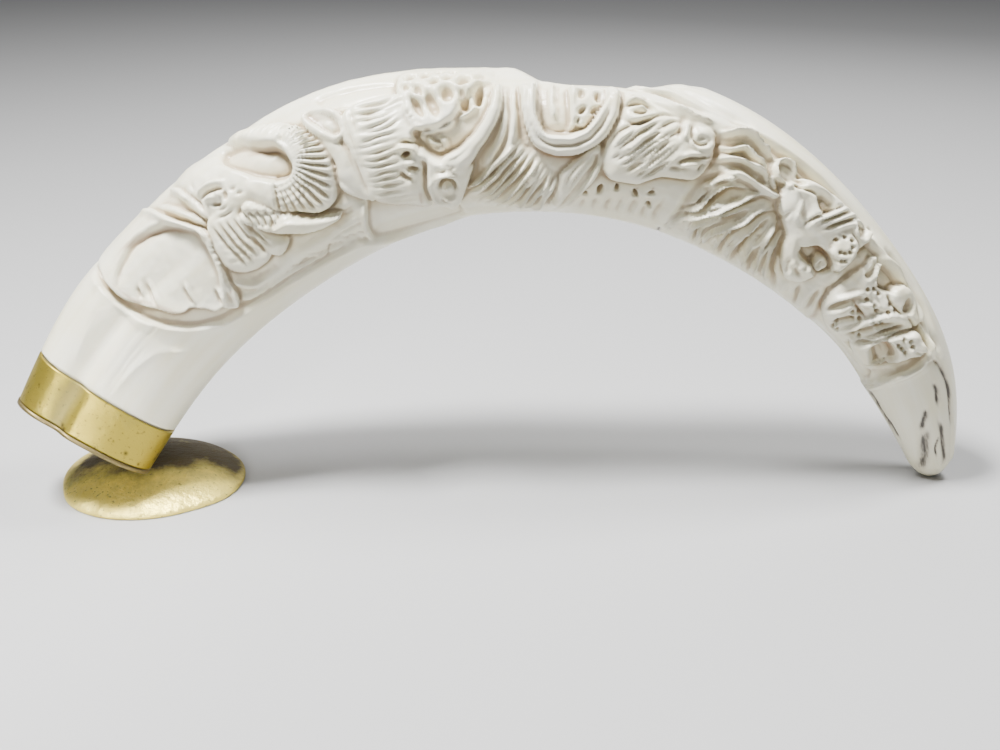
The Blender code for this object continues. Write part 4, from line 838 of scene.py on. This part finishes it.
# Painted shadow: dark brown lines along the shaded edges of the ears, the trunk's hollow, the cheeks, heads
# and horn, and in mouths, eyes and drilled pits, each with its width.
PAINTED_SHADOW_MARKS = ((((41, 17.8), (44, 18.5), (49, 17.5), (54, 14.6), (57, 11.6), (59.4, 8.7)), 0.6),
    (((37, 15), (37.3, 8.2), (39.6, 4.4), (41.6, 0.8), (43, -2.2), (46.2, -3.5), (48.8, -6.3), (51, -8.9),
    (53.6, -10.2)), 0.45), (((77.4, 20.2), (80, 18.2), (83, 16), (85.2, 13.4)), 0.7),
    (((59.7, 0.6), (60, -1.8), (61.6, -4.2), (64.6, -6), (70, -6)), 0.35),
    (((99.6, -5), (103, -7.6), (108, -9.4), (114, -10.6)), 0.5), (((137.2, 2.6), (140, 0.4), (144, -0.3),
    (148.6, 0.4)), 1.0), (((111, -5.8), (110.8, -9.2)), 0.4), (((204.8, -0.9), (206.6, 0.9), (209.4, 1.6),
    (211.6, 0.9)), 0.7), (((153, -2.4), (154.6, -4.9), (158, -5)), 0.5),
    (((174.8, 3), (175, 8), (174, 12)), 0.6), (((221.6, -0.8), (223.6, -1.5), (226, -1.6), (228.4, -1.4)),
    0.3), (((217.6, -6), (220, -10), (222.6, -15.4), (226, -22)), 0.5),
    (((237.2, -2.4), (239, -1.4), (241, -1.7)), 0.6), (((92.4, 18.8), (94.6, 16)), 0.8),
    (((149.9, -9.3), (150, -9.5)), 0.45), (((153.1, -6.4), (153, -8.4)), 0.45),
    (((156.9, -5.8), (156.9, -6.6)), 0.45), (((161.2, -7), (162, -6)), 0.45),
    (((165.3, -5.4), (165.9, -5.2)), 0.45), (((165.6, -9), (166.2, -9.6)), 0.4),
    (((109.4, 2.8), (109.9, 2.9)), 0.4), (((200.6, 10.2), (202.6, 9.8)), 0.5),
    (((212.4, 11), (212.9, 11.5)), 0.5))


def wobble(s, g, size, seed):
    """A smooth random surface between about -1 and 1, with waves about this size."""
    chance = np.random.default_rng(seed)
    total = np.zeros(s.shape)
    waves = 24
    for _ in range(waves):
        turn = chance.uniform(0.0, 2 * np.pi)
        pace = 2 * np.pi / (size * chance.uniform(0.7, 1.6))
        total += np.sin((s * np.cos(turn) + g * np.sin(turn)) * pace + chance.uniform(0.0, 2 * np.pi))
    return total / np.sqrt(waves)


def relief(skin_s, skin_g):
    """Height of the carving above the tusk's own skin. Every edge wanders a little, as cut by hand."""
    s = skin_s + HAND_WANDER * wobble(skin_s, skin_g, 5.0, 1)
    g = skin_g + HAND_WANDER * wobble(skin_s, skin_g, 5.0, 2)
    tusk = Carving(s, g)
    ground(tusk)
    plain = tusk.h.copy()
    for carve in (elephant, rhinoceros, buffalo, lion, leopard):
        carve(tusk)
    # Nothing stands up over the outline along the inner curve or the crest.
    inner = ramp((-g - RAISED_TO_INNER) / RAISED_FADE) * ramp((s - 118.0) / 6.0)
    crest = ramp((g - RAISED_TO_CREST) / RAISED_FADE) * ramp((s - 126.0) / 4.0) * ramp((174.0 - s) / 4.0)
    tusk.h -= np.maximum(inner, crest) * np.maximum(tusk.h - plain - 0.05, 0.0)
    carved = Carving(s, g)
    carved.level_zone(FIELD, 1.0, 1.0)
    tusk.h += carved.h * (0.025 * wobble(s, g, 3.6, 3) + 0.01 * wobble(s, g, 1.9, 4))
    for path, width in CRACKS:
        tusk.stroke(path, 0.6, width, 0.25, "cut")
    return tusk.h


def painted(s, g, marks, spread):
    """Where dark cracks or painted shadows lie, from nothing to full."""
    paint = np.zeros(s.shape)
    for path, width in marks:
        mark = Carving(s, g)
        mark.stroke(path, -1.0, width * spread, 0.2)
        paint = np.maximum(paint, mark.h)
    return paint


# Meshes

def place_all(points):
    return (np.asarray(points) - (MIDDLE_X, MIDDLE_Y, 0.0)) * METRES_PER_MILLIMETRE


def put(name, points, faces, material):
    mesh = bpy.data.meshes.new(name)
    mesh.from_pydata(place_all(points).tolist(), [], faces)
    mesh.validate()
    mesh.polygons.foreach_set("use_smooth", np.ones(len(mesh.polygons), bool))
    thing = bpy.data.objects.new(name, mesh)
    bpy.context.scene.collection.objects.link(thing)
    mesh.materials.append(material)
    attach(thing, "root")
    return thing


def ring_faces(start_a, start_b, count):
    i = np.arange(count)
    j = (i + 1) % count
    return np.stack([start_a + i, start_b + i, start_b + j, start_a + j], axis=1).tolist()


def tube_faces(rings, count):
    """Faces between each ring and the next one."""
    faces = []
    for r in range(rings - 1):
        faces += ring_faces(r * count, (r + 1) * count, count)
    return faces


def cap_faces(middle, start, count, last=False):
    """Triangles from a middle point to the first ring, or turned the other way to the last."""
    edges = [(start + i, start + (i + 1) % count) for i in range(count)]
    return [(middle, b, a) if last else (middle, a, b) for a, b in edges]


def column_shares(front, back, front_share):
    """Places round the girth as shares of half of it, close together over the front."""
    close = np.linspace(-front_share, front_share, front)
    wide = np.linspace(front_share, 2.0 - front_share, back + 2)[1:-1]
    shares = np.concatenate([close, wide])
    return np.sort(np.where(shares > 1.0, shares - 2.0, shares))


def blurred(field, rows, columns):
    """A box blur of a field on the tusk's grid. Columns run all the way round."""
    for axis, reach in ((0, rows), (1, columns)):
        total = np.zeros_like(field)
        for step in range(-reach, reach + 1):
            moved = np.roll(field, step, axis=axis)
            if axis == 0 and step > 0:
                moved[:step] = field[:1]
            if axis == 0 and step < 0:
                moved[step:] = field[-1:]
            total += moved
        field = total / (2 * reach + 1)
    return field


def add_field(thing, name, values, kind="FLOAT", key="value"):
    field = thing.data.attributes.new(name, kind, "POINT")
    field.data.foreach_set(key, np.asarray(values, np.float32).ravel())


def tusk_rows(start, tip_start):
    """Lengths of the rings of points: close together over the carving and at the rounded end."""
    turns = np.radians(np.linspace(8.0, 84.0, ROWS_ROUNDED_END))
    return np.concatenate([
        np.array([start, BAND_TO + FIT_GAP, BAND_TO + 2.5 * FIT_GAP, BAND_TO + 4.0 * FIT_GAP]),
        np.linspace(BAND_TO + 2.0, CARVED_FROM, ROWS_ROOT)[:-1],
        np.arange(CARVED_FROM, CARVED_TO, ROW_STEP),
        np.linspace(CARVED_TO, tip_start, ROWS_PLAIN_TIP),
        TUSK_LENGTH - TIP_ROUNDING * (1.0 - np.sin(turns))])


def bare_skin(rows, shares):
    """Points of the bare skin, their girths and their outward directions, a row for each length."""
    skins = []
    girths = []
    aways = []
    for s in rows:
        slant = BAND_SLANT * ramp((CARVED_FROM - s) / (CARVED_FROM - BAND_TO - 1.0))
        skin, g, away, out_share, heading = section(s, shares)
        skins.append(skin + (slant * out_share)[:, None] * heading)
        girths.append(g)
        aways.append(away)
    return np.array(skins), np.array(girths), np.array(aways)


def knife_finish(heights, shares, s, g):
    """Crisper crests and cuts than the soft forms have, run out smoothly where the skin turns under."""
    carved = (s > CARVED_FROM) * (s < CARVED_TO)
    crisp = sum(strength * (heights - blurred(heights, reach, reach)) for reach, strength in CRISPNESS)
    crisp *= 1.0 - 0.85 * ramp((g - CRISP_TO_CREST) / CRISP_FADE)
    crisp *= 1.0 - ramp((-g - CRISP_TO_INNER) / CRISP_FADE)
    heights = heights + np.clip(crisp, *CRISP_LIMITS) * carved
    under = ramp((-shares - 0.42) / 0.08) * carved
    smooth = blurred(blurred(heights, 12, 3), 12, 3)
    return heights + (smooth - heights) * eased(under)


def make_tusk(material):
    shares = column_shares(COLUMNS_FRONT, COLUMNS_BACK, FRONT_SHARE)
    start = BAND_FROM + FIT_GAP
    tip_start = TUSK_LENGTH - TIP_ROUNDING
    rows = tusk_rows(start, tip_start)
    skins, g, aways = bare_skin(rows, shares)
    s = np.repeat(rows[:, None], len(shares), axis=1)
    heights = knife_finish(relief(s, g), shares, s, g)
    in_band = rows < BAND_TO + 2.0 * FIT_GAP
    proud = np.where(in_band, -(BAND_THICKNESS - BAND_PROUD + FIT_GAP), 0.0)[:, None]
    points = skins + (heights + groove(s, g) + proud)[:, :, None] * aways
    for r in np.nonzero(rows > tip_start)[0]:
        past = (rows[r] - tip_start) / TIP_ROUNDING
        middle = station(rows[r])[0]
        points[r] = middle + (points[r] - middle) * np.sqrt(1.0 - past ** 2)
    count = len(shares)
    total = len(rows) * count
    points = np.vstack([points.reshape(-1, 3), station(start)[0], station(TUSK_LENGTH)[0]])
    points[:, 2] = np.maximum(points[:, 2], 0.0)
    faces = tube_faces(len(rows), count) + cap_faces(total, 0, count)
    faces += cap_faces(total + 1, total - count, count, last=True)
    thing = put("tusk_carved", points, faces, material)
    fields = {
        "crack": painted(s, g, CRACKS, 1.15),
        "painted_shadow": painted(s, g, PAINTED_SHADOW_MARKS, 1.0),
        # Painted shade with patina: how far each place lies below its blurred neighbours.
        "crevice_patina_and_shade": blurred(heights, 3, 3) - heights,
        "recess_patina_and_shade": blurred(blurred(heights, 9, 9), 9, 9) - heights}
    for name, values in fields.items():
        add_field(thing, name, np.concatenate([values.ravel(), np.zeros(2)]))
    places = np.stack([s.ravel(), g.ravel(), np.zeros(total)], axis=1)
    places = np.vstack([places, (start, 0.0, 0.0), (TUSK_LENGTH, 0.0, 0.0)])
    add_field(thing, "skin", places, "FLOAT_VECTOR", "vector")
    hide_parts("tusk")


def band_ring(s, shares, proud):
    skin, g, away, out_share, heading = section(s, shares)
    raised = proud + groove(s, g)
    return skin + raised[:, None] * away + (BAND_SLANT * out_share)[:, None] * heading


# Small holes and dents in the collar, which the mesh does not cut, painted dark as the shade inside them:
# length, girth and radius.
BAND_PITS = ((2.2, 5.2, 0.45), (1.6, 4.4, 0.5), (3.6, -11, 0.5), (2.2, -15.6, 0.35), (4.4, -21.4, 0.7),
    (5.6, -21.6, 0.6), (6.2, -3, 0.25), (9, 10, 0.25), (4, 12.4, 0.22), (7.4, 15, 0.25), (5, -7, 0.22),
    (2.6, 1, 0.22))


def make_band(material):
    shares = column_shares(*BAND_COLUMNS)
    count = len(shares)
    outside = np.linspace(BAND_FROM, BAND_TO, BAND_ROWS)
    inside = outside[::-4]
    rings = [band_ring(s, shares, BAND_PROUD) for s in outside]
    rings += [band_ring(s, shares, BAND_PROUD - BAND_THICKNESS) for s in inside]
    faces = tube_faces(len(rings), count) + ring_faces((len(rings) - 1) * count, 0, count)
    thing = put("brass_band", np.vstack(rings), faces, material)
    levels = np.concatenate([outside, inside])
    girth = np.concatenate([section(s, shares)[1] for s in levels])
    length = np.repeat(levels, count)
    # Painted shade along the fold of the collar's groove.
    fold = np.exp(-((girth - GROOVE_GIRTH - 0.5) / 2.6) ** 2) * (girth > GROOVE_GIRTH - 3.2)
    marks = np.zeros(girth.shape)
    for at, across, radius in BAND_PITS:
        far = (length - at) ** 2 + (girth - across) ** 2
        marks = np.maximum(marks, np.exp(-far / radius ** 2))
    add_field(thing, "tarnish_and_shade", 0.75 * fold)
    add_field(thing, "pit_shade", marks)
    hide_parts("collar")


def make_plate(material):
    shares = column_shares(*PLATE_COLUMNS)
    count = len(shares)
    top = BAND_FROM - FIT_GAP
    bottom = top - PLATE_THICKNESS
    rings = [band_ring(s, shares, PLATE_PROUD) for s in (bottom, top)]
    points = np.vstack(rings + [station(bottom)[0], station(top)[0]])
    faces = ring_faces(0, count, count) + cap_faces(2 * count, 0, count)
    faces += cap_faces(2 * count + 1, count, count, last=True)
    thing = put("brass_plate", points, faces, material)
    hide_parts("end_plate")


def foot_radius(turn):
    """The foot's uneven plan: its radius at a turn in radians, through evenly spaced readings."""
    count = len(FOOT_RADII)
    at = (turn / (2 * np.pi) * count) % count
    i = np.floor(at).astype(int)
    f = at - i
    radii = np.array(FOOT_RADII)
    return curve_through(*(radii[(i + k) % count] for k in (-1, 0, 1, 2)), f)


def make_foot(material):
    count = FOOT_COLUMNS
    turn = np.arange(count) * 2 * np.pi / count
    edge = foot_radius(turn)
    rings = []

    def ring(reach, z):
        x = FOOT_X + reach * np.cos(turn)
        y = reach * np.sin(turn)
        rings.append(np.stack([x, y, np.full(count, z)], axis=1))

    def dome(share):
        return FOOT_SHEET + (FOOT_HEIGHT - FOOT_SHEET) * (1.0 - share ** 2) ** 0.9

    for share in np.linspace(0.04, 0.97, FOOT_ROWS):
        ring(edge * share, dome(share))
    for inset, z in ((0.2, 0.95), (0.0, 0.6), (0.0, 0.2), (0.15, 0.0), (FOOT_FLAT, 0.0)):
        ring(edge - inset, z)
    for share in (0.9, 0.72, 0.5, 0.25):
        ring((edge - FOOT_FLAT) * share, dome(share) - FOOT_SHEET)
    points = np.vstack(rings + [(FOOT_X, 0.0, dome(0.0)), (FOOT_X, 0.0, dome(0.0) - FOOT_SHEET)])
    faces = tube_faces(len(rings), count) + cap_faces(len(points) - 2, 0, count)
    faces += cap_faces(len(points) - 1, (len(rings) - 1) * count, count, last=True)
    thing = put("brass_foot", points, faces, material)
    # Painted shade and reflection on the foot: darker toward the back and in the middle under the collar,
    # less dark at the rim, so the front stays bright.
    behind = ramp((points[:, 1] + 9.0) / 16.0)
    shade = np.exp(-((points[:, 0] - FOOT_X + 1.0) ** 2 + (points[:, 1] - 1.0) ** 2) / 60.0)
    rim = ramp((np.hypot(points[:, 0] - FOOT_X, points[:, 1]) - 20.0) / 3.0)
    add_field(thing, "tarnish_and_shade", ramp(0.8 * behind * (1.0 - 0.6 * rim) + 0.5 * shade))
    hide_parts("foot")


# Materials

class Nodes:
    """Short names for building a material's nodes."""

    def __init__(self, name):
        self.material = bpy.data.materials.new(name)
        self.material.use_nodes = True
        self.tree = self.material.node_tree
        self.surface = self.tree.nodes["Principled BSDF"]

    def new(self, kind, **settings):
        made = self.tree.nodes.new(kind)
        for name, value in settings.items():
            setattr(made, name, value)
        return made

    def join(self, a, b):
        self.tree.links.new(a, b)

    def field(self, name, output="Fac"):
        return self.new("ShaderNodeAttribute", attribute_name=name).outputs[output]

    def noise(self, place, scale, detail=3.0, rough=0.5):
        made = self.new("ShaderNodeTexNoise")
        made.inputs["Scale"].default_value = scale
        made.inputs["Detail"].default_value = detail
        made.inputs["Roughness"].default_value = rough
        self.join(place, made.inputs["Vector"])
        return made.outputs["Fac"]

    def stretched(self, place, x, y, z):
        made = self.new("ShaderNodeMapping")
        made.inputs["Scale"].default_value = (x, y, z)
        self.join(place, made.inputs["Vector"])
        return made.outputs["Vector"]

    def ranged(self, value, low, high, to_low=0.0, to_high=1.0):
        made = self.new("ShaderNodeMapRange")
        made.inputs["From Min"].default_value = low
        made.inputs["From Max"].default_value = high
        made.inputs["To Min"].default_value = to_low
        made.inputs["To Max"].default_value = to_high
        self.join(value, made.inputs["Value"])
        return made.outputs["Result"]

    def fed(self, value, socket):
        """Feeds a socket with another socket, a number or a colour's three numbers."""
        if isinstance(value, tuple):
            socket.default_value = (*value, 1.0)
        elif isinstance(value, float):
            socket.default_value = value
        else:
            self.join(value, socket)

    def mixed(self, share, a, b):
        """Mixes two colours."""
        made = self.new("ShaderNodeMix", data_type="RGBA")
        for value, socket in zip((a, b), [i for i in made.inputs if i.type == "RGBA"]):
            self.fed(value, socket)
        self.join(share, made.inputs["Factor"])
        return [o for o in made.outputs if o.type == "RGBA"][0]

    def maths(self, operation, a, b):
        made = self.new("ShaderNodeMath", operation=operation)
        for value, socket in zip((a, b), made.inputs):
            self.fed(value, socket)
        return made.outputs["Value"]

    def times(self, a, b):
        return self.maths("MULTIPLY", a, b)

    def bump(self, height, distance, strength):
        made = self.new("ShaderNodeBump")
        made.inputs["Distance"].default_value = distance
        made.inputs["Strength"].default_value = strength
        self.join(height, made.inputs["Height"])
        self.join(made.outputs["Normal"], self.surface.inputs["Normal"])


def ivory():
    n = Nodes("ivory")
    skin = n.field("skin", "Vector")
    crevice_patina_and_shade = n.ranged(n.field("crevice_patina_and_shade"), 0.08, 0.5)
    recess_patina_and_shade = n.ranged(n.field("recess_patina_and_shade"), 0.25, 1.5)
    ragged = n.ranged(n.noise(n.stretched(skin, 0.25, 1.1, 1.0), 1.0, 2.0, 0.6), 0.35, 0.65, 0.6, 1.1)
    crack = n.times(n.field("crack"), ragged)
    streaks = n.noise(n.stretched(skin, 0.02, 0.35, 1.0), 1.0, 4.0)
    clouds = n.noise(skin, 0.06, 3.0)
    base = n.mixed(n.ranged(streaks, 0.35, 0.7), CREAM, HONEY)
    base = n.mixed(n.ranged(clouds, 0.4, 0.7, 0.0, 0.5), base, PALE)
    # Recesses and crevices tinted darker, partly patina in the cuts and partly painted shade.
    base = n.mixed(n.times(recess_patina_and_shade, 0.58), base, RECESS_PATINA_AND_SHADE_TAN)
    base = n.mixed(n.times(crevice_patina_and_shade, 0.70), base, CREVICE_PATINA_AND_SHADE_BROWN)
    # Painted shadow along edges and in mouths, eyes and drilled pits.
    base = n.mixed(n.times(n.field("painted_shadow"), 0.6), base, PAINTED_SHADOW_BROWN)
    base = n.mixed(n.ranged(crack, 0.05, 0.6, 0.0, 0.6), base, CRACK_EDGE)
    base = n.mixed(n.ranged(crack, 0.42, 0.85, 0.0, 0.95), base, CRACK_DARK)
    n.join(base, n.surface.inputs["Base Color"])
    n.join(n.ranged(n.noise(skin, 0.5, 2.0), 0.3, 0.7, 0.28, 0.42), n.surface.inputs["Roughness"])
    n.surface.inputs["Subsurface Weight"].default_value = 0.06
    n.surface.inputs["Subsurface Radius"].default_value = (1.0, 0.75, 0.5)
    n.surface.inputs["Subsurface Scale"].default_value = 0.0004
    n.bump(n.noise(n.stretched(skin, 0.35, 1.6, 1.0), 1.0, 4.0), 0.00006, 0.6)
    return n.material


def brass(name, bright, tarnish_and_shade, hammering, metal):
    """Brass with tarnished patches, specks and pits. Its patches are also darkened by a field of painted
    shade, and its pits are painted dark as shade. hammering is the depth of its dents in metres, and metal
    is how metallic its bright parts are."""
    n = Nodes(name)
    place = n.new("ShaderNodeTexCoord").outputs["Object"]
    cloud = n.noise(place, 110.0, 5.0, 0.65)
    # Tarnish clouds plus the field of painted shade.
    tarnish_and_shade_amount = n.maths("ADD", n.times(cloud, 0.8), n.times(n.field("tarnish_and_shade"), 0.7))
    tarnish_and_shade_patches = n.ranged(tarnish_and_shade_amount, 0.42, 0.85)
    specks = n.ranged(n.noise(place, 1100.0, 2.0), 0.63, 0.72)
    base = n.mixed(tarnish_and_shade_patches, bright, tarnish_and_shade)
    base = n.mixed(n.times(specks, 0.6), base, BRASS_SPECK)
    # Painted shade in the collar's small holes and dents.
    base = n.mixed(n.times(n.field("pit_shade"), 0.95), base, BRASS_PIT_SHADE)
    n.join(base, n.surface.inputs["Base Color"])
    n.join(n.ranged(tarnish_and_shade_patches, 0.0, 1.0, 0.45, 0.62), n.surface.inputs["Roughness"])
    n.join(n.ranged(tarnish_and_shade_patches, 0.0, 1.0, metal, 0.45), n.surface.inputs["Metallic"])
    dents = n.noise(place, 170.0, 2.0, 0.5)
    grain = n.times(n.noise(place, 900.0, 4.0, 0.6), 0.32)
    hammered = n.maths("ADD", dents, grain)
    n.bump(hammered, hammering, 0.8)
    return n.material


# Stage, light and camera

def area(name, place, aim, size, power, spread=180.0):
    """A soft light at a place in metres, turned to its aim, with its power in watts."""
    data = bpy.data.lights.new(name, "AREA")
    data.shape = "RECTANGLE"
    data.size, data.size_y = size
    data.energy = power
    data.spread = np.radians(spread)
    light = bpy.data.objects.new(name, data)
    light.location = place
    light.rotation_euler = (Vector(aim) - Vector(place)).to_track_quat("-Z", "Y").to_euler()
    bpy.context.scene.collection.objects.link(light)


def make_stage():
    mesh = bpy.data.meshes.new("floor")
    corners = [(x * FLOOR_REACH, y * FLOOR_REACH, 0.0) for x, y in ((-1, -1), (1, -1), (1, 1), (-1, 1))]
    mesh.from_pydata(corners, [], [(0, 1, 2, 3)])
    floor = bpy.data.objects.new("floor", mesh)
    floor.location.z = -FLOOR_BELOW
    bpy.context.scene.collection.objects.link(floor)
    n = Nodes("floor")
    n.surface.inputs["Base Color"].default_value = (FLOOR_GREY, FLOOR_GREY, FLOOR_GREY, 1.0)
    n.surface.inputs["Roughness"].default_value = 0.7
    mesh.materials.append(n.material)
    world = bpy.data.worlds.new("studio")
    bpy.context.scene.world = world
    world.use_nodes = True
    background = world.node_tree.nodes["Background"]
    background.inputs["Color"].default_value = (*SKY_COLOUR, 1.0)
    background.inputs["Strength"].default_value = SKY_STRENGTH
    area("top", (-0.20, -0.10, 0.57), (0.0, 0.0, 0.05), (0.12, 0.12), 13.0)
    area("front", (-0.1, -0.7, 0.36), (0.0, 0.0, 0.05), (0.4, 0.3), 0.7)
    area("right", (0.24, 0.05, 0.52), (0.06, 0.0, 0.05), (0.12, 0.12), 3.2)
    area("foot", (-0.16, -0.34, 0.12), (-0.093, -0.014, 0.0), (0.06, 0.06), 0.03, spread=22.0)
    area("back", (0.2, 0.5, 0.4), (0.0, 0.0, 0.05), (0.5, 0.3), 1.5)


def make_camera():
    data = bpy.data.cameras.new("camera")
    data.sensor_width = 36.0
    data.lens = CAMERA_LENS
    data.clip_start = 0.01
    camera = bpy.data.objects.new("camera", data)
    camera.location = place_all(CAMERA_PLACE)
    camera.rotation_euler = (np.radians(90.0 - CAMERA_DOWN), 0.0, 0.0)
    bpy.context.scene.collection.objects.link(camera)
    bpy.context.scene.camera = camera


make_tusk(ivory())
make_band(brass("brass_band", bright=(0.44, 0.345, 0.05), tarnish_and_shade=(0.27, 0.22, 0.055),
                hammering=0.0004, metal=0.9))
make_plate(brass("brass_plate", bright=(0.22, 0.17, 0.07), tarnish_and_shade=(0.11, 0.09, 0.05),
                 hammering=0.0002, metal=0.8))
# The foot's bright colour is a painted reflection on its front, and its dark colour serves both tarnish and
# painted shade.
make_foot(brass("brass_foot", bright=(1.0, 0.82, 0.20), tarnish_and_shade=(0.09, 0.07, 0.035),
                hammering=0.0014, metal=0.78))
make_stage()
make_camera()
